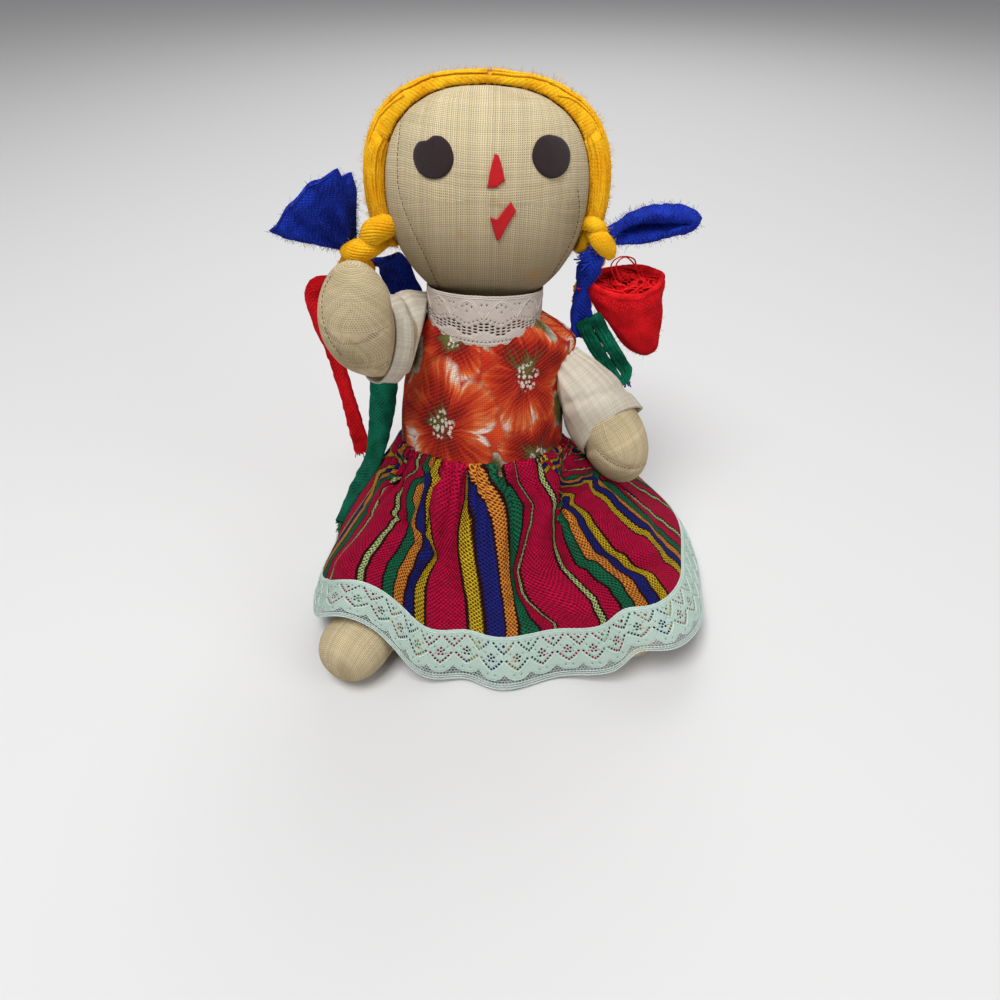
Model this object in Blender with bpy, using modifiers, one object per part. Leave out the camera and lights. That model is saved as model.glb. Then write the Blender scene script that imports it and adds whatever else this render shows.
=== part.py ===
"""A sitting rag doll with sewn joints, built in metres, +Z up, facing -Y.

The origin is the middle of its seat, on the surface that it sits on. Right and left are the doll's own,
so the right side is towards -X. Each stuffed piece is a cover of two sewn panels round its stuffing.
"""
import bpy
import bmesh
from math import atan2, cos, exp, pi, radians, sin
from mathutils import Matrix, Vector

# Pose of the sitting body
LEAN_BACK = radians(15)
LEAN_SIDE = radians(1.9)

# Thickness of each cloth, and the gaps between pieces
MUSLIN = 0.0007
BLOUSE_CLOTH = 0.0007
SLEEVE_CLOTH = 0.0009
SKIRT_CLOTH = 0.0012
LACE_CLOTH = 0.0008
FELT = 0.0009
GAP = 0.0003
SOCKET_GAP = 0.0006
OVERRUN = 0.004

# Torso
TORSO_HEIGHT = 0.150
TORSO_HALF_WIDTH = 0.0395
BELLY_DEPTH = 0.036
BACK_DEPTH = 0.026
TORSO_SEAM_FORWARD = 0.005
# Shares for each ring: height, half width, front depth, back depth, and how much of the lean it has
TORSO_SHARES = (
    (0.00, 0.40, 0.40, 0.40, 0.0),
    (0.00, 0.82, 0.74, 0.84, 0.0),
    (0.10, 0.98, 0.90, 1.00, 0.4),
    (0.32, 1.01, 0.98, 1.02, 0.9),
    (0.54, 1.01, 1.03, 1.02, 1.0),
    (0.73, 0.95, 1.00, 0.98, 1.0),
    (0.87, 0.80, 0.77, 0.86, 1.0),
    (0.97, 0.56, 0.54, 0.66, 1.0),
    (1.00, 0.24, 0.24, 0.30, 1.0),
)
TORSO_SIDES = 10

# Head
HEAD_HEIGHT = 0.0875
HEAD_HALF_WIDTH = 0.0455
FACE_DEPTH = 0.035
NAPE_DEPTH = 0.034
HEAD_SEAM_FORWARD = 0.011
# Shares for each ring: height, half width, front depth, back depth
HEAD_SHARES = (
    (0.00, 0.22, 0.26, 0.26),
    (0.03, 0.50, 0.56, 0.54),
    (0.15, 0.78, 0.80, 0.78),
    (0.34, 0.98, 0.97, 0.96),
    (0.55, 1.02, 1.02, 1.02),
    (0.74, 0.98, 0.97, 0.99),
    (0.90, 0.78, 0.76, 0.80),
    (1.00, 0.34, 0.34, 0.36),
)
HEAD_SIDES = 10

# Felt face. Its places are shares of the head's half width across and of its height up
EYE_HALF_WIDTH = 0.0076
EYE_HALF_HEIGHT = 0.0083
EYE_PLACES = {"right": (-0.4615, 0.6914), "left": (0.5363, 0.6914)}
EYE_POINTS = 12
NOSE_HEIGHT = 0.0132
NOSE_HALF_WIDTH = 0.0036
NOSE_PLACE = (0.0747, 0.6286)
NOSE_SHARES = ((-0.25, 0.5), (-1.0, -0.5), (1.0, -0.42), (0.35, 0.5))
MOUTH_HEIGHT = 0.0165
MOUTH_HALF_WIDTH = 0.0055
MOUTH_PLACE = (0.1538, 0.4274)
MOUTH_SHARES = (
    (1.0, 0.50), (0.30, 0.38), (-0.35, 0.05), (-1.0, 0.10), (-0.55, -0.35), (-0.20, -0.50), (0.95, 0.15),
)

# Hair: yarn over the back of the head, and a knot beside each cheek
HAIR_SIDE = 0.0090
HAIR_TOP = 0.0052
HAIR_BACK = 0.0065
HAIR_FRONT = 0.0035
HAIR_LOW = 0.0215
THREAD_THICKNESS = 0.0010
PARTING_LOW = 0.0400
KNOT_RADIUS = 0.0072
KNOT_HEIGHT = {"right": 0.0227, "left": 0.0288}
KNOT_OUT = {"right": 0.0112, "left": 0.0072}
# Shares of the knot's radius for each ring: outwards, upwards, and the ring's own radius
KNOT_SHARES = {
    "right": ((-1.8, 0.9, 0.50), (-0.9, 0.5, 1.0), (0.1, 0.0, 0.80), (1.0, -0.4, 1.0), (1.8, -0.8, 0.55)),
    "left": ((-1.0, 1.6, 0.50), (-0.5, 0.9, 1.0), (0.0, 0.2, 0.82), (0.3, -0.5, 1.0), (0.6, -1.2, 0.60)),
}
LIMB_SIDES = 8

# Bows at the knots
BOW_LENGTH = 0.0290
BOW_HALF_WIDTH = 0.0225
BOW_THICKNESS = 0.0075
BOW_OUT = 0.0060
BOW_RISE = radians(56)
BOW_FORWARD = radians(20)
# Shares for each section: length, half width, thickness
BOW_SHARES = ((0.0, 0.22, 0.9), (0.35, 0.50, 1.0), (0.70, 0.84, 1.0), (1.0, 1.0, 0.6))
LOOP_LENGTH = 0.0380
LOOP_HALF_HEIGHT = 0.0090
LOOP_BAND = 0.0022
LOOP_DEPTH = 0.0130
LOOP_RISE = radians(18)
LOOP_SEAT_SHARE = 0.6
LOOP_POINTS = 20

# Braids and their ribbons, hung from a hinge under each knot
HINGE_BELOW_KNOT = 0.0112
HINGE_OUT = {"right": 0.0005, "left": -0.0025}
BRAID_RADIUS = 0.0060
BRAID_LENGTH = 0.046
SOCKET_RINGS = 8
# Shares of the braid's length from the hinge: outwards, backwards and upwards, and the radius's own share
BRAID_SHARES = {
    "right": (
        (0.0, 0.0, 0.125, 0.42), (0.0, 0.0, 0.075, 0.88), (0.0, 0.0, 0.0, 1.06), (0.02, 0.06, -0.20, 0.94),
        (0.02, 0.13, -0.50, 1.04), (0.02, 0.16, -0.82, 0.92), (0.02, 0.17, -1.02, 0.45),
    ),
    "left": (
        (0.0, 0.0, 0.125, 0.42), (0.0, 0.0, 0.075, 0.88), (0.0, 0.0, 0.0, 1.06), (-0.05, 0.08, -0.20, 0.96),
        (-0.07, 0.17, -0.50, 1.08), (-0.03, 0.20, -0.78, 1.0), (0.0, 0.20, -0.96, 0.50),
    ),
}
RIBBON_THICKNESS = 0.0030
BLUE_HALF_WIDTH = {"right": 0.0080, "left": 0.0045}
RED_HALF_WIDTH = 0.0055
GREEN_HALF_WIDTH = 0.0078
# Shares of the braid's length from the hinge: outwards, backwards and upwards, and of a quarter turn
BLUE_SHARES = {
    "right": (
        (-0.04, 0.13, 0.00, 0.0), (-0.22, 0.24, -0.06, 0.0), (-0.32, 0.24, -0.24, 0.0), (-0.40, 0.24, -0.43, 0.0),
    ),
    "left": ((-0.02, 0.06, -0.10, 0.0), (-0.04, 0.05, -0.30, 0.0), (-0.03, 0.05, -0.62, 0.0)),
}
RED_SHARES = (
    (0.05, 0.06, -0.16, 0.0), (0.34, 0.05, -0.18, 0.0), (0.56, 0.05, -0.30, 0.0), (0.50, 0.05, -0.80, 0.0),
    (0.42, 0.05, -1.35, 0.0), (0.36, 0.05, -2.00, 0.0), (0.33, 0.05, -2.48, 0.0),
)
GREEN_SHARES = {
    "right": (
        (0.0, 0.10, -0.90, 0.0), (-0.05, 0.06, -1.18, 0.0), (-0.03, -0.20, -1.60, 0.25),
        (0.07, -0.50, -2.08, 0.75), (0.31, -0.62, -2.43, 1.0), (0.456, -0.78, -2.667, 1.0),
        (0.51, -0.876, -2.755, 1.0),
    ),
    "left": (
        (0.02, 0.10, -0.72, 0.0), (0.10, 0.08, -0.86, 0.0), (0.32, 0.08, -1.10, 0.0), (0.52, 0.09, -1.43, 0.0),
    ),
}
ROSE_HALF_WIDTH = 0.0190
ROSE_HALF_DEPTH = 0.0075
# Shares of the braid's length from the hinge, and the share of the rose's half width and depth
ROSE_SHARES = (
    (0.31, -0.02, -0.26, 0.62), (0.31, -0.02, -0.20, 0.92), (0.33, -0.02, -0.29, 1.02),
    (0.40, -0.03, -0.48, 0.86), (0.52, -0.05, -0.76, 0.62), (0.62, -0.07, -1.00, 0.36),
)

# Arms: places along the sewn sausage from the shoulder are shares of the arm's reach
ARM_REACH = 0.090
UPPER_ARM_RADIUS = 0.0138
HAND_RADIUS = 0.0170
SHOULDER_HEIGHT = 0.136
SHOULDER_OUT = 0.0313
SHOULDER_TILT = radians(12.5)
# Shares for each ring: place from the shoulder, and shares of the upper arm's and the hand's radius
ARM_SHARES = {
    "right": (
        (0.06, 0.06, -0.02, 0.80, 0.0), (-0.05, -0.08, 0.02, 1.06, 0.0), (-0.15, -0.30, 0.08, 0.60, 0.45),
        (-0.20, -0.45, 0.18, 0.0, 1.04), (-0.21, -0.52, 0.34, 0.0, 1.0), (-0.20, -0.53, 0.49, 0.0, 0.72),
        (-0.195, -0.535, 0.59, 0.0, 0.28),
    ),
    "left": (
        (-0.07, 0.08, 0.06, 0.80, 0.0), (0.03, -0.01, -0.04, 1.04, 0.0), (0.16, -0.13, -0.21, 1.02, 0.0),
        (0.28, -0.21, -0.37, 0.50, 0.47), (0.37, -0.27, -0.51, 0.0, 1.02), (0.44, -0.31, -0.66, 0.0, 0.84),
        (0.48, -0.33, -0.76, 0.0, 0.32),
    ),
}
# The sleeve's radius at its root and its cuff, and how far it reaches along the arm's rings, as shares
SLEEVE_ROOT_RADIUS = 0.0166
CUFF_RADIUS = {"right": 0.0212, "left": 0.0182}
SLEEVE_REACH_SHARE = {"right": 0.33, "left": 0.53}
SLEEVE_ROWS = 4
SLEEVE_SIDES = 14

# Legs
HIP_HALF_SPACING = 0.021
HIP_FORWARD = 0.002
HIP_HEIGHT = 0.017
WEB_HALF_WIDTH = 0.0056
LEG_REACH = 0.075
THIGH_RADIUS = 0.0142
HIP_SWELL_SHARE = 1.09
FOOT_RADIUS = 0.0168
FLOOR_PRESS = 0.0005
LEG_SPLAY = {"right": radians(-30.5), "left": radians(47.5)}
HIP_RANGE = radians(78)
HIP_ARC_STEPS = 7
# Shares for each ring: place along the leg, and shares of the thigh's and the foot's radius
LEG_SHARES = (
    (-0.185, 0.44, 0.0), (-0.10, 1.03, 0.0), (0.06, HIP_SWELL_SHARE, 0.0), (0.42, 1.02, 0.0),
    (0.74, 0.45, 0.52), (0.98, 0.0, 1.06), (1.13, 0.0, 0.90), (1.21, 0.0, 0.40),
)

# Clothes
BODICE_LOW = 0.0745
NECKLINE = 0.1455
WAIST_HEIGHT = 0.0795
COLLAR_TOP = 0.1565
COLLAR_FRONT_LOW = 0.1345
COLLAR_SIDE_LOW = 0.1395
COLLAR_BACK_LOW = 0.1420
COLLAR_HALF_WIDTH = 0.0268
COLLAR_FRONT = 0.0270
COLLAR_BACK = 0.0262
COLLAR_COLUMNS = 20
COLLAR_ROWS = 4
SKIRT_COLUMNS = 50
SKIRT_FOLDS = 10
FOLD_DEPTH = 0.0028
SKIRT_BULGE = 0.0170
HEM_REACH = 0.100
HEM_LIFT = 0.0012
SKIRT_ROW_SHARES = (0.0, 0.11, 0.22, 0.34, 0.46, 0.58, 0.69, 0.79, 0.93)
LACE_ROW_SHARES = (0.79, 0.93, 1.0)
# The hem's outline from the front towards the doll's left: what it is measured from, three shares of the
# hem's reach or of the foot's radius, and the share of the skirt's bulge above it
HEM_SHARES = (
    ("seat", 0.14, -0.770, 0.0, 0.20),
    ("seat", 0.41, -0.750, 0.0, 0.30),
    ("seat", 0.62, -0.730, 0.07, 0.40),
    ("left", 0.10, -1.300, 0.25, 0.45),
    ("left", 1.10, -0.900, 0.25, 0.45),
    ("seat", 1.17, -0.410, 0.12, 0.50),
    ("seat", 1.20, -0.050, 0.03, 0.55),
    ("seat", 1.12, 0.350, 0.0, 0.85),
    ("seat", 0.89, 0.680, 0.0, 0.80),
    ("seat", 0.49, 0.840, 0.0, 0.50),
    ("seat", 0.04, 0.880, 0.0, 0.45),
    ("seat", -0.38, 0.800, 0.0, 0.45),
    ("seat", -0.66, 0.560, 0.0, 0.50),
    ("seat", -0.78, 0.200, 0.0, 0.55),
    ("seat", -0.80, -0.150, 0.04, 0.55),
    ("right", -1.25, 1.450, -0.15, 0.50),
    ("right", -1.10, 0.640, 0.50, 0.45),
    ("right", 0.05, 0.200, 1.30, 0.35),
    ("right", 1.08, -0.330, 0.45, 0.30),
    ("seat", -0.23, -0.730, 0.04, 0.25),
    ("seat", -0.04, -0.765, 0.0, 0.20),
)
# The deep folds of the skirt's front: each one's share of the relief's height, half width in columns, and
# the column and the share of the skirt's length that its middle runs through
RELIEF_HEIGHT = 0.0056
RELIEF_START = 0.10
RELIEF_FADE = 0.10
RELIEF_LIFT_SHARE = 0.35
RELIEF_FOLDS = (
    (1.0, 1.7, ((6.2, 0.05), (4.3, 0.20), (2.8, 0.30), (2.2, 0.45), (3.0, 0.58), (4.4, 0.64))),
    (0.5, 1.1, ((-0.6, 0.05), (-0.2, 0.20), (0.2, 0.35), (0.2, 0.50))),
    (-0.5, 1.0, ((1.0, 0.08), (1.3, 0.20), (0.8, 0.35), (0.6, 0.50))),
    (-0.9, 1.3, ((10.0, 0.09), (8.0, 0.18), (4.9, 0.27), (4.0, 0.38), (4.2, 0.46))),
    (-0.4, 1.0, ((-3.4, 0.08), (-3.6, 0.28), (-3.4, 0.50))),
    (0.8, 1.5, ((-7.0, 0.08), (-6.1, 0.22), (-6.8, 0.36), (-9.0, 0.48), (-10.8, 0.58))),
    (-0.6, 1.0, ((-13.0, 0.12), (-9.5, 0.29), (-8.4, 0.35))),
    (-0.5, 0.9, ((-5.4, 0.44), (-6.3, 0.58))),
    (0.7, 2.0, ((14.5, 0.14), (13.4, 0.26), (13.1, 0.40), (11.5, 0.52))),
    (-0.5, 1.2, ((9.3, 0.21), (8.7, 0.36), (9.2, 0.48))),
)

# Colours of the cloths and yarns
MUSLIN_TAN = (0.62, 0.54, 0.40)
STUFFING = (0.86, 0.84, 0.78)
FELT_BROWN = (0.035, 0.022, 0.022)
FELT_RED = (0.55, 0.02, 0.02)
YARN_GOLD = (0.90, 0.44, 0.02)
THREAD_DARK = (0.10, 0.06, 0.04)
RIBBON_BLUE = (0.02, 0.03, 0.30)
RIBBON_RED = (0.72, 0.02, 0.03)
RIBBON_GREEN = (0.01, 0.16, 0.07)
BLOUSE_PRINT = (0.68, 0.16, 0.06)
COTTON_WHITE = (0.80, 0.76, 0.68)
LACE_IVORY = (0.84, 0.78, 0.70)
SKIRT_CRIMSON = (0.60, 0.01, 0.08)
LACE_MINT = (0.68, 0.82, 0.74)

# Directions and places that the sizes above give
OUTWARD = {"right": Vector((-1, 0, 0)), "left": Vector((1, 0, 0))}
UP = Vector((0, 0, 1))
BACK = Vector((0, 1, 0))
TURN = Matrix.Rotation(LEAN_SIDE, 3, "Y") @ Matrix.Rotation(-LEAN_BACK, 3, "X")
SPINE = TURN @ UP
ACROSS = TURN @ Vector((1, 0, 0))
FORWARD = TURN @ Vector((0, -1, 0))
HEAD_BASE = TORSO_HEIGHT + GAP
BLOUSE_OUTSIDE = GAP + BLOUSE_CLOTH
CUT_REACH = (TORSO_HEIGHT + HEAD_HEIGHT) * 2
COLLECTIONS = {}


def on_spine(height, across=0.0, forward=0.0):
    """World point a height up the leaning spine, and a distance across and forward of it."""
    return SPINE * height + ACROSS * across + FORWARD * forward


def new_collection(name):
    collection = bpy.data.collections.new(name)
    bpy.context.scene.collection.children.link(collection)
    return collection


def cloth_material(name, colour):
    material = bpy.data.materials.new(name)
    material.use_nodes = True
    shader = material.node_tree.nodes["Principled BSDF"]
    shader.inputs["Base Color"].default_value = (*colour, 1.0)
    shader.inputs["Roughness"].default_value = 0.9
    shader.inputs["Metallic"].default_value = 0.0
    return material


def add_object(name, mesh, pivot=None, colour=None):
    """A piece of the doll, or a hidden cutter where it has no colour, carried by its pivot's empty."""
    obj = bpy.data.objects.new(name, mesh)
    if colour is None:
        COLLECTIONS["cutters"].objects.link(obj)
        obj.hide_render = True
        obj.display_type = "WIRE"
    else:
        COLLECTIONS["doll"].objects.link(obj)
        mesh.materials.append(cloth_material(name, colour))
    if pivot is not None:
        mesh.transform(Matrix.Translation(-pivot.location))
        obj.parent = pivot
    return obj


def add_pivot(name, place):
    """An empty on a joint's axis, which the pieces that move there are parented to."""
    empty = bpy.data.objects.new(name, None)
    empty.location = place
    empty.empty_display_size = KNOT_RADIUS
    COLLECTIONS["doll"].objects.link(empty)
    return empty


def oval(centre, half, front, back, sides):
    """Points of an oval ring, made wide enough that Subdivision Surface draws it in to its true size.

    Its half width, front depth and back depth are vectors.
    """
    swell = 4 / (3 + cos(2 * pi / sides))
    points = []
    for index in range(sides):
        angle = 2 * pi * (index + 0.5) / sides
        depth = front if sin(angle) > 0 else back
        points.append(centre + half * (cos(angle) * swell) + depth * (abs(sin(angle)) * swell))
    return points


def slope(points, index):
    """Direction of a row of points at one of them."""
    before = points[max(index - 1, 0)]
    after = points[min(index + 1, len(points) - 1)]
    return (after - before).normalized()


def tube_rings(points, halves, depths, wide, sides=LIMB_SIDES):
    """Oval rings square to a row of points, with their half widths along the wide direction."""
    rings = []
    for index, (point, half, depth) in enumerate(zip(points, halves, depths)):
        along = slope(points, index)
        side = (wide - along * wide.dot(along)).normalized()
        deep = along.cross(side)
        rings.append(oval(point, side * half, deep * depth, deep * -depth, sides))
    return rings


def strap_rings(points, half_widths, thicknesses, wides):
    """Flat four-cornered sections square to a row of points, each wide along its own direction."""
    rings = []
    for index, (point, half, thickness, wide) in enumerate(zip(points, half_widths, thicknesses, wides)):
        along = slope(points, index)
        side = (wide - along * wide.dot(along)).normalized() * half
        deep = along.cross(side).normalized() * (thickness / 2)
        rings.append([point + side + deep, point - side + deep, point - side - deep, point + side - deep])
    return rings


def loft(name, rings, closed=True):
    """A mesh through rings of points, with a flat face over each end where it is closed."""
    bm = bmesh.new()
    loops = [[bm.verts.new(point) for point in ring] for ring in rings]
    sides = len(loops[0])
    for low, high in zip(loops, loops[1:]):
        for index in range(sides):
            after = (index + 1) % sides
            bm.faces.new((low[index], low[after], high[after], high[index]))
    if closed:
        bm.faces.new(tuple(reversed(loops[0])))
        bm.faces.new(tuple(loops[-1]))
    bmesh.ops.recalc_face_normals(bm, faces=bm.faces)
    mesh = bpy.data.meshes.new(name)
    bm.to_mesh(mesh)
    bm.free()
    return mesh


def soften(obj):
    """One level of Subdivision Surface over a coarse cage."""
    surf = obj.modifiers.new("Soften", "SUBSURF")
    surf.levels = 1
    surf.render_levels = 1
    obj.data.shade_smooth()


def grow(obj, distance):
    """Moves a form's surface out along its normals, or in where the distance is negative."""
    swell = obj.modifiers.new("Grow", "DISPLACE")
    swell.mid_level = 0.0
    swell.strength = distance


def thicken(obj, thickness):
    """Gives an open cloth surface its thickness, on its inner side."""
    solid = obj.modifiers.new("Thickness", "SOLIDIFY")
    solid.thickness = thickness
    solid.offset = -1.0


def cut(obj, cutter, operation="DIFFERENCE"):
    boolean = obj.modifiers.new("Cut", "BOOLEAN")
    boolean.operation = operation
    boolean.solver = "EXACT"
    boolean.object = cutter


def soft_form(name, rings, distance=0.0, pivot=None, colour=None):
    """A softened loft, which stands out from its rings by the distance."""
    form = add_object(name, loft(name, rings), pivot, colour)
    soften(form)
    if distance:
        grow(form, distance)
    return form


def half_space(name, point, normal, pivot=None):
    """A hidden box that fills the space behind a plane, opposite its normal."""
    bm = bmesh.new()
    bmesh.ops.create_cube(bm, size=CUT_REACH)
    turn = normal.to_track_quat("Z", "Y").to_matrix().to_4x4()
    place = Matrix.Translation(point - normal * (CUT_REACH / 2)) @ turn
    bmesh.ops.transform(bm, matrix=place, verts=bm.verts)
    mesh = bpy.data.meshes.new(name)
    bm.to_mesh(mesh)
    bm.free()
    return add_object(name, mesh, pivot)


def ball_cutter(name, centre, radius):
    bm = bmesh.new()
    bmesh.ops.create_uvsphere(bm, u_segments=SOCKET_RINGS * 2, v_segments=SOCKET_RINGS, radius=radius)
    bmesh.ops.translate(bm, vec=centre, verts=bm.verts)
    mesh = bpy.data.meshes.new(name)
    bm.to_mesh(mesh)
    bm.free()
    return add_object(name, mesh)


def prism(name, outline, along, colour=None):
    """A closed outline of points pushed along a vector."""
    return add_object(name, loft(name, [outline, [point + along for point in outline]]), None, colour)


def skin_panels(names, rings, outside, inside, seam_point, seam_normal, colour, pivot=None):
    """Two panels of cloth round one form, which meet at a seam plane."""
    lining = soft_form(names[0] + "_lining", rings, inside, pivot)
    panels = []
    for name, sign in zip(names, (1, -1)):
        panel = soft_form(name, rings, outside, pivot, colour)
        cut(panel, lining)
        normal = seam_normal * sign
        cut(panel, half_space(name + "_seam", seam_point + normal * (GAP / 2), normal, pivot))
        panels.append(panel)
    return panels


def stuffed(part, names, rings, seam_point, seam_normal, pivot=None):
    """A muslin cover of two panels and the stuffing that fills it."""
    pieces = skin_panels(names, rings, 0.0, -MUSLIN, seam_point, seam_normal, MUSLIN_TAN, pivot)
    pieces.append(soft_form(part + "_stuffing", rings, -(MUSLIN + GAP), pivot, STUFFING))
    return pieces


def torso_rings():
    """Rings of the torso. The lowest two lie in the seat's plane, and the higher ones lean with the spine."""
    rings = []
    for height, width, front, back, lean in TORSO_SHARES:
        facing = Vector((0, -1, 0)).lerp(FORWARD, lean).normalized()
        side = Vector((1, 0, 0)).lerp(ACROSS, lean).normalized()
        centre = on_spine(height * TORSO_HEIGHT)
        rings.append(oval(centre, side * (width * TORSO_HALF_WIDTH), facing * (front * BELLY_DEPTH),
                          facing * (-back * BACK_DEPTH), TORSO_SIDES))
    return rings


def hip_centre(side):
    return OUTWARD[side] * HIP_HALF_SPACING - BACK * HIP_FORWARD + UP * HIP_HEIGHT


def hip_slot(side):
    """The room in the torso that one thigh turns in, as an outline across the hip pushed outwards.

    Softening draws the thigh's root in from this radius, which leaves the gap that it turns with.
    """
    radius = THIGH_RADIUS * HIP_SWELL_SHARE
    start = hip_centre(side) + OUTWARD[side] * (WEB_HALF_WIDTH - HIP_HALF_SPACING)
    outline = [start - BACK * CUT_REACH + UP * radius]
    for step in range(HIP_ARC_STEPS + 1):
        angle = pi / 2 - (pi - HIP_RANGE) * step / HIP_ARC_STEPS
        outline.append(start + BACK * (cos(angle) * radius) + UP * (sin(angle) * radius))
    lowered = BACK * -cos(HIP_RANGE) - UP * sin(HIP_RANGE)
    outline.append(outline[-1] + lowered * (HIP_HEIGHT + OVERRUN))
    outline.append(outline[-1] - BACK * CUT_REACH)
    return prism("hip_slot_" + side, outline, OUTWARD[side] * (TORSO_HALF_WIDTH * 2))


def make_torso():
    names = ("torso_front_panel", "torso_back_panel")
    seam = on_spine(0.0, 0.0, TORSO_SEAM_FORWARD)
    pieces = stuffed("torso", names, torso_rings(), seam, FORWARD)
    for side in OUTWARD:
        slot = hip_slot(side)
        for piece in pieces:
            cut(piece, slot)


def make_bodice():
    names = ("bodice_front_panel", "bodice_back_panel")
    seam = on_spine(0.0, 0.0, TORSO_SEAM_FORWARD)
    panels = skin_panels(names, torso_rings(), BLOUSE_OUTSIDE, GAP, seam, FORWARD, BLOUSE_PRINT)
    hem = half_space("bodice_hem", on_spine(BODICE_LOW), SPINE)
    neckline = half_space("bodice_neckline", on_spine(NECKLINE), -SPINE)
    for panel in panels:
        cut(panel, hem)
        cut(panel, neckline)


def make_collar():
    """A band of lace that stands round the neck, with its lower edge trimmed to lie on the blouse."""
    rings = []
    for row in range(COLLAR_ROWS):
        share = row / (COLLAR_ROWS - 1)
        ring = []
        for column in range(COLLAR_COLUMNS):
            angle = 2 * pi * column / COLLAR_COLUMNS
            end_low = COLLAR_FRONT_LOW if cos(angle) > 0 else COLLAR_BACK_LOW
            low = COLLAR_SIDE_LOW + (end_low - COLLAR_SIDE_LOW) * cos(angle) ** 2
            depth = COLLAR_FRONT if cos(angle) > 0 else COLLAR_BACK
            height = COLLAR_TOP + (low - COLLAR_TOP) * share
            ring.append(on_spine(height, sin(angle) * COLLAR_HALF_WIDTH, cos(angle) * depth))
        rings.append(ring)
    lace = add_object("neck_lace", loft("neck_lace", rings, False), None, LACE_IVORY)
    thicken(lace, LACE_CLOTH)
    cut(lace, soft_form("neck_lace_seat", torso_rings(), BLOUSE_OUTSIDE + GAP))
    cut(lace, soft_form("neck_lace_head", head_rings(), GAP))


def head_rings(side_add=0.0, top_add=0.0, back_add=0.0):
    """Rings of the head from its base on the neck, with room added for the hair."""
    rings = []
    for height, width, front, back in HEAD_SHARES:
        centre = on_spine(HEAD_BASE + height * (HEAD_HEIGHT + top_add))
        rings.append(oval(centre, ACROSS * (width * (HEAD_HALF_WIDTH + side_add)),
                          FORWARD * (front * FACE_DEPTH), FORWARD * (-back * (NAPE_DEPTH + back_add)),
                          HEAD_SIDES))
    return rings


def make_head():
    seam = on_spine(HEAD_BASE, 0.0, HEAD_SEAM_FORWARD)
    stuffed("head", ("head_front_panel", "head_back_panel"), head_rings(), seam, FORWARD)


def make_felt(name, place, half_width, height, shares, colour):
    """A felt shape that lies on the face: a prism cut to a thin skin over the head."""
    across, rise = place[0] * HEAD_HALF_WIDTH, HEAD_BASE + place[1] * HEAD_HEIGHT
    outline = [on_spine(rise + y * height, across + x * half_width) for x, y in shares]
    felt = prism(name, outline, FORWARD * (FACE_DEPTH * 2), colour)
    cut(felt, soft_form(name + "_outside", head_rings(), GAP + FELT), "INTERSECT")
    cut(felt, soft_form(name + "_inside", head_rings(), GAP))


def make_face():
    turns = [2 * pi * index / EYE_POINTS for index in range(EYE_POINTS)]
    circle = [(cos(turn), sin(turn)) for turn in turns]
    for side, place in EYE_PLACES.items():
        make_felt("felt_eye_" + side, place, EYE_HALF_WIDTH, EYE_HALF_HEIGHT, circle, FELT_BROWN)
    make_felt("felt_nose", NOSE_PLACE, NOSE_HALF_WIDTH, NOSE_HEIGHT, NOSE_SHARES, FELT_RED)
    make_felt("felt_mouth", MOUTH_PLACE, MOUTH_HALF_WIDTH, MOUTH_HEIGHT, MOUTH_SHARES, FELT_RED)


def hair_rings():
    return head_rings(HAIR_SIDE, HAIR_TOP, HAIR_BACK)


def make_hair():
    front = half_space("hair_front", on_spine(HEAD_BASE, 0.0, HAIR_FRONT), -FORWARD)
    hair = soft_form("hair_cap", hair_rings(), 0.0, None, YARN_GOLD)
    cut(hair, front)
    cut(hair, half_space("hair_low", on_spine(HEAD_BASE + HAIR_LOW), SPINE))
    cut(hair, soft_form("hair_lining", head_rings(), GAP))
    thread = soft_form("parting_thread", hair_rings(), GAP + THREAD_THICKNESS, None, THREAD_DARK)
    cut(thread, soft_form("parting_seat", hair_rings(), GAP))
    cut(thread, front)
    cut(thread, half_space("parting_low", on_spine(HEAD_BASE + PARTING_LOW), SPINE))
    for name, sign in (("parting_right", -1), ("parting_left", 1)):
        edge = on_spine(HEAD_BASE, sign * THREAD_THICKNESS / 2)
        cut(thread, half_space(name, edge, ACROSS * -sign))


def knot_centre(side):
    sign = OUTWARD[side].x
    return on_spine(HEAD_BASE + KNOT_HEIGHT[side], sign * (HEAD_HALF_WIDTH + KNOT_OUT[side]))


def hinge_centre(side):
    return knot_centre(side) + OUTWARD[side] * HINGE_OUT[side] - UP * HINGE_BELOW_KNOT


def from_hinge(side, shares):
    """World point at shares of the braid's length outwards, backwards and upwards from its hinge."""
    out, back, rise = shares
    return hinge_centre(side) + (OUTWARD[side] * out + BACK * back + UP * rise) * BRAID_LENGTH


def knot_rings(side):
    centre = knot_centre(side)
    points = []
    radii = []
    for out, rise, size in KNOT_SHARES[side]:
        points.append(centre + (OUTWARD[side] * out + UP * rise) * KNOT_RADIUS)
        radii.append(size * KNOT_RADIUS)
    return tube_rings(points, radii, radii, BACK)


def braid_rings(side):
    points = [from_hinge(side, row[:3]) for row in BRAID_SHARES[side]]
    radii = [row[3] * BRAID_RADIUS for row in BRAID_SHARES[side]]
    return tube_rings(points, radii, radii, OUTWARD[side])


def make_knot(side):
    """Two lobes of gathered yarn, seated on the hair and hollowed where the braid's top turns."""
    knot = soft_form(side + "_hair_knot", knot_rings(side), 0.0, None, YARN_GOLD)
    cut(knot, soft_form(side + "_knot_seat", hair_rings(), GAP))
    cut(knot, soft_form(side + "_knot_face", head_rings(), GAP))
    cut(knot, ball_cutter(side + "_knot_socket", hinge_centre(side), BRAID_RADIUS + SOCKET_GAP * 2))


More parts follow.
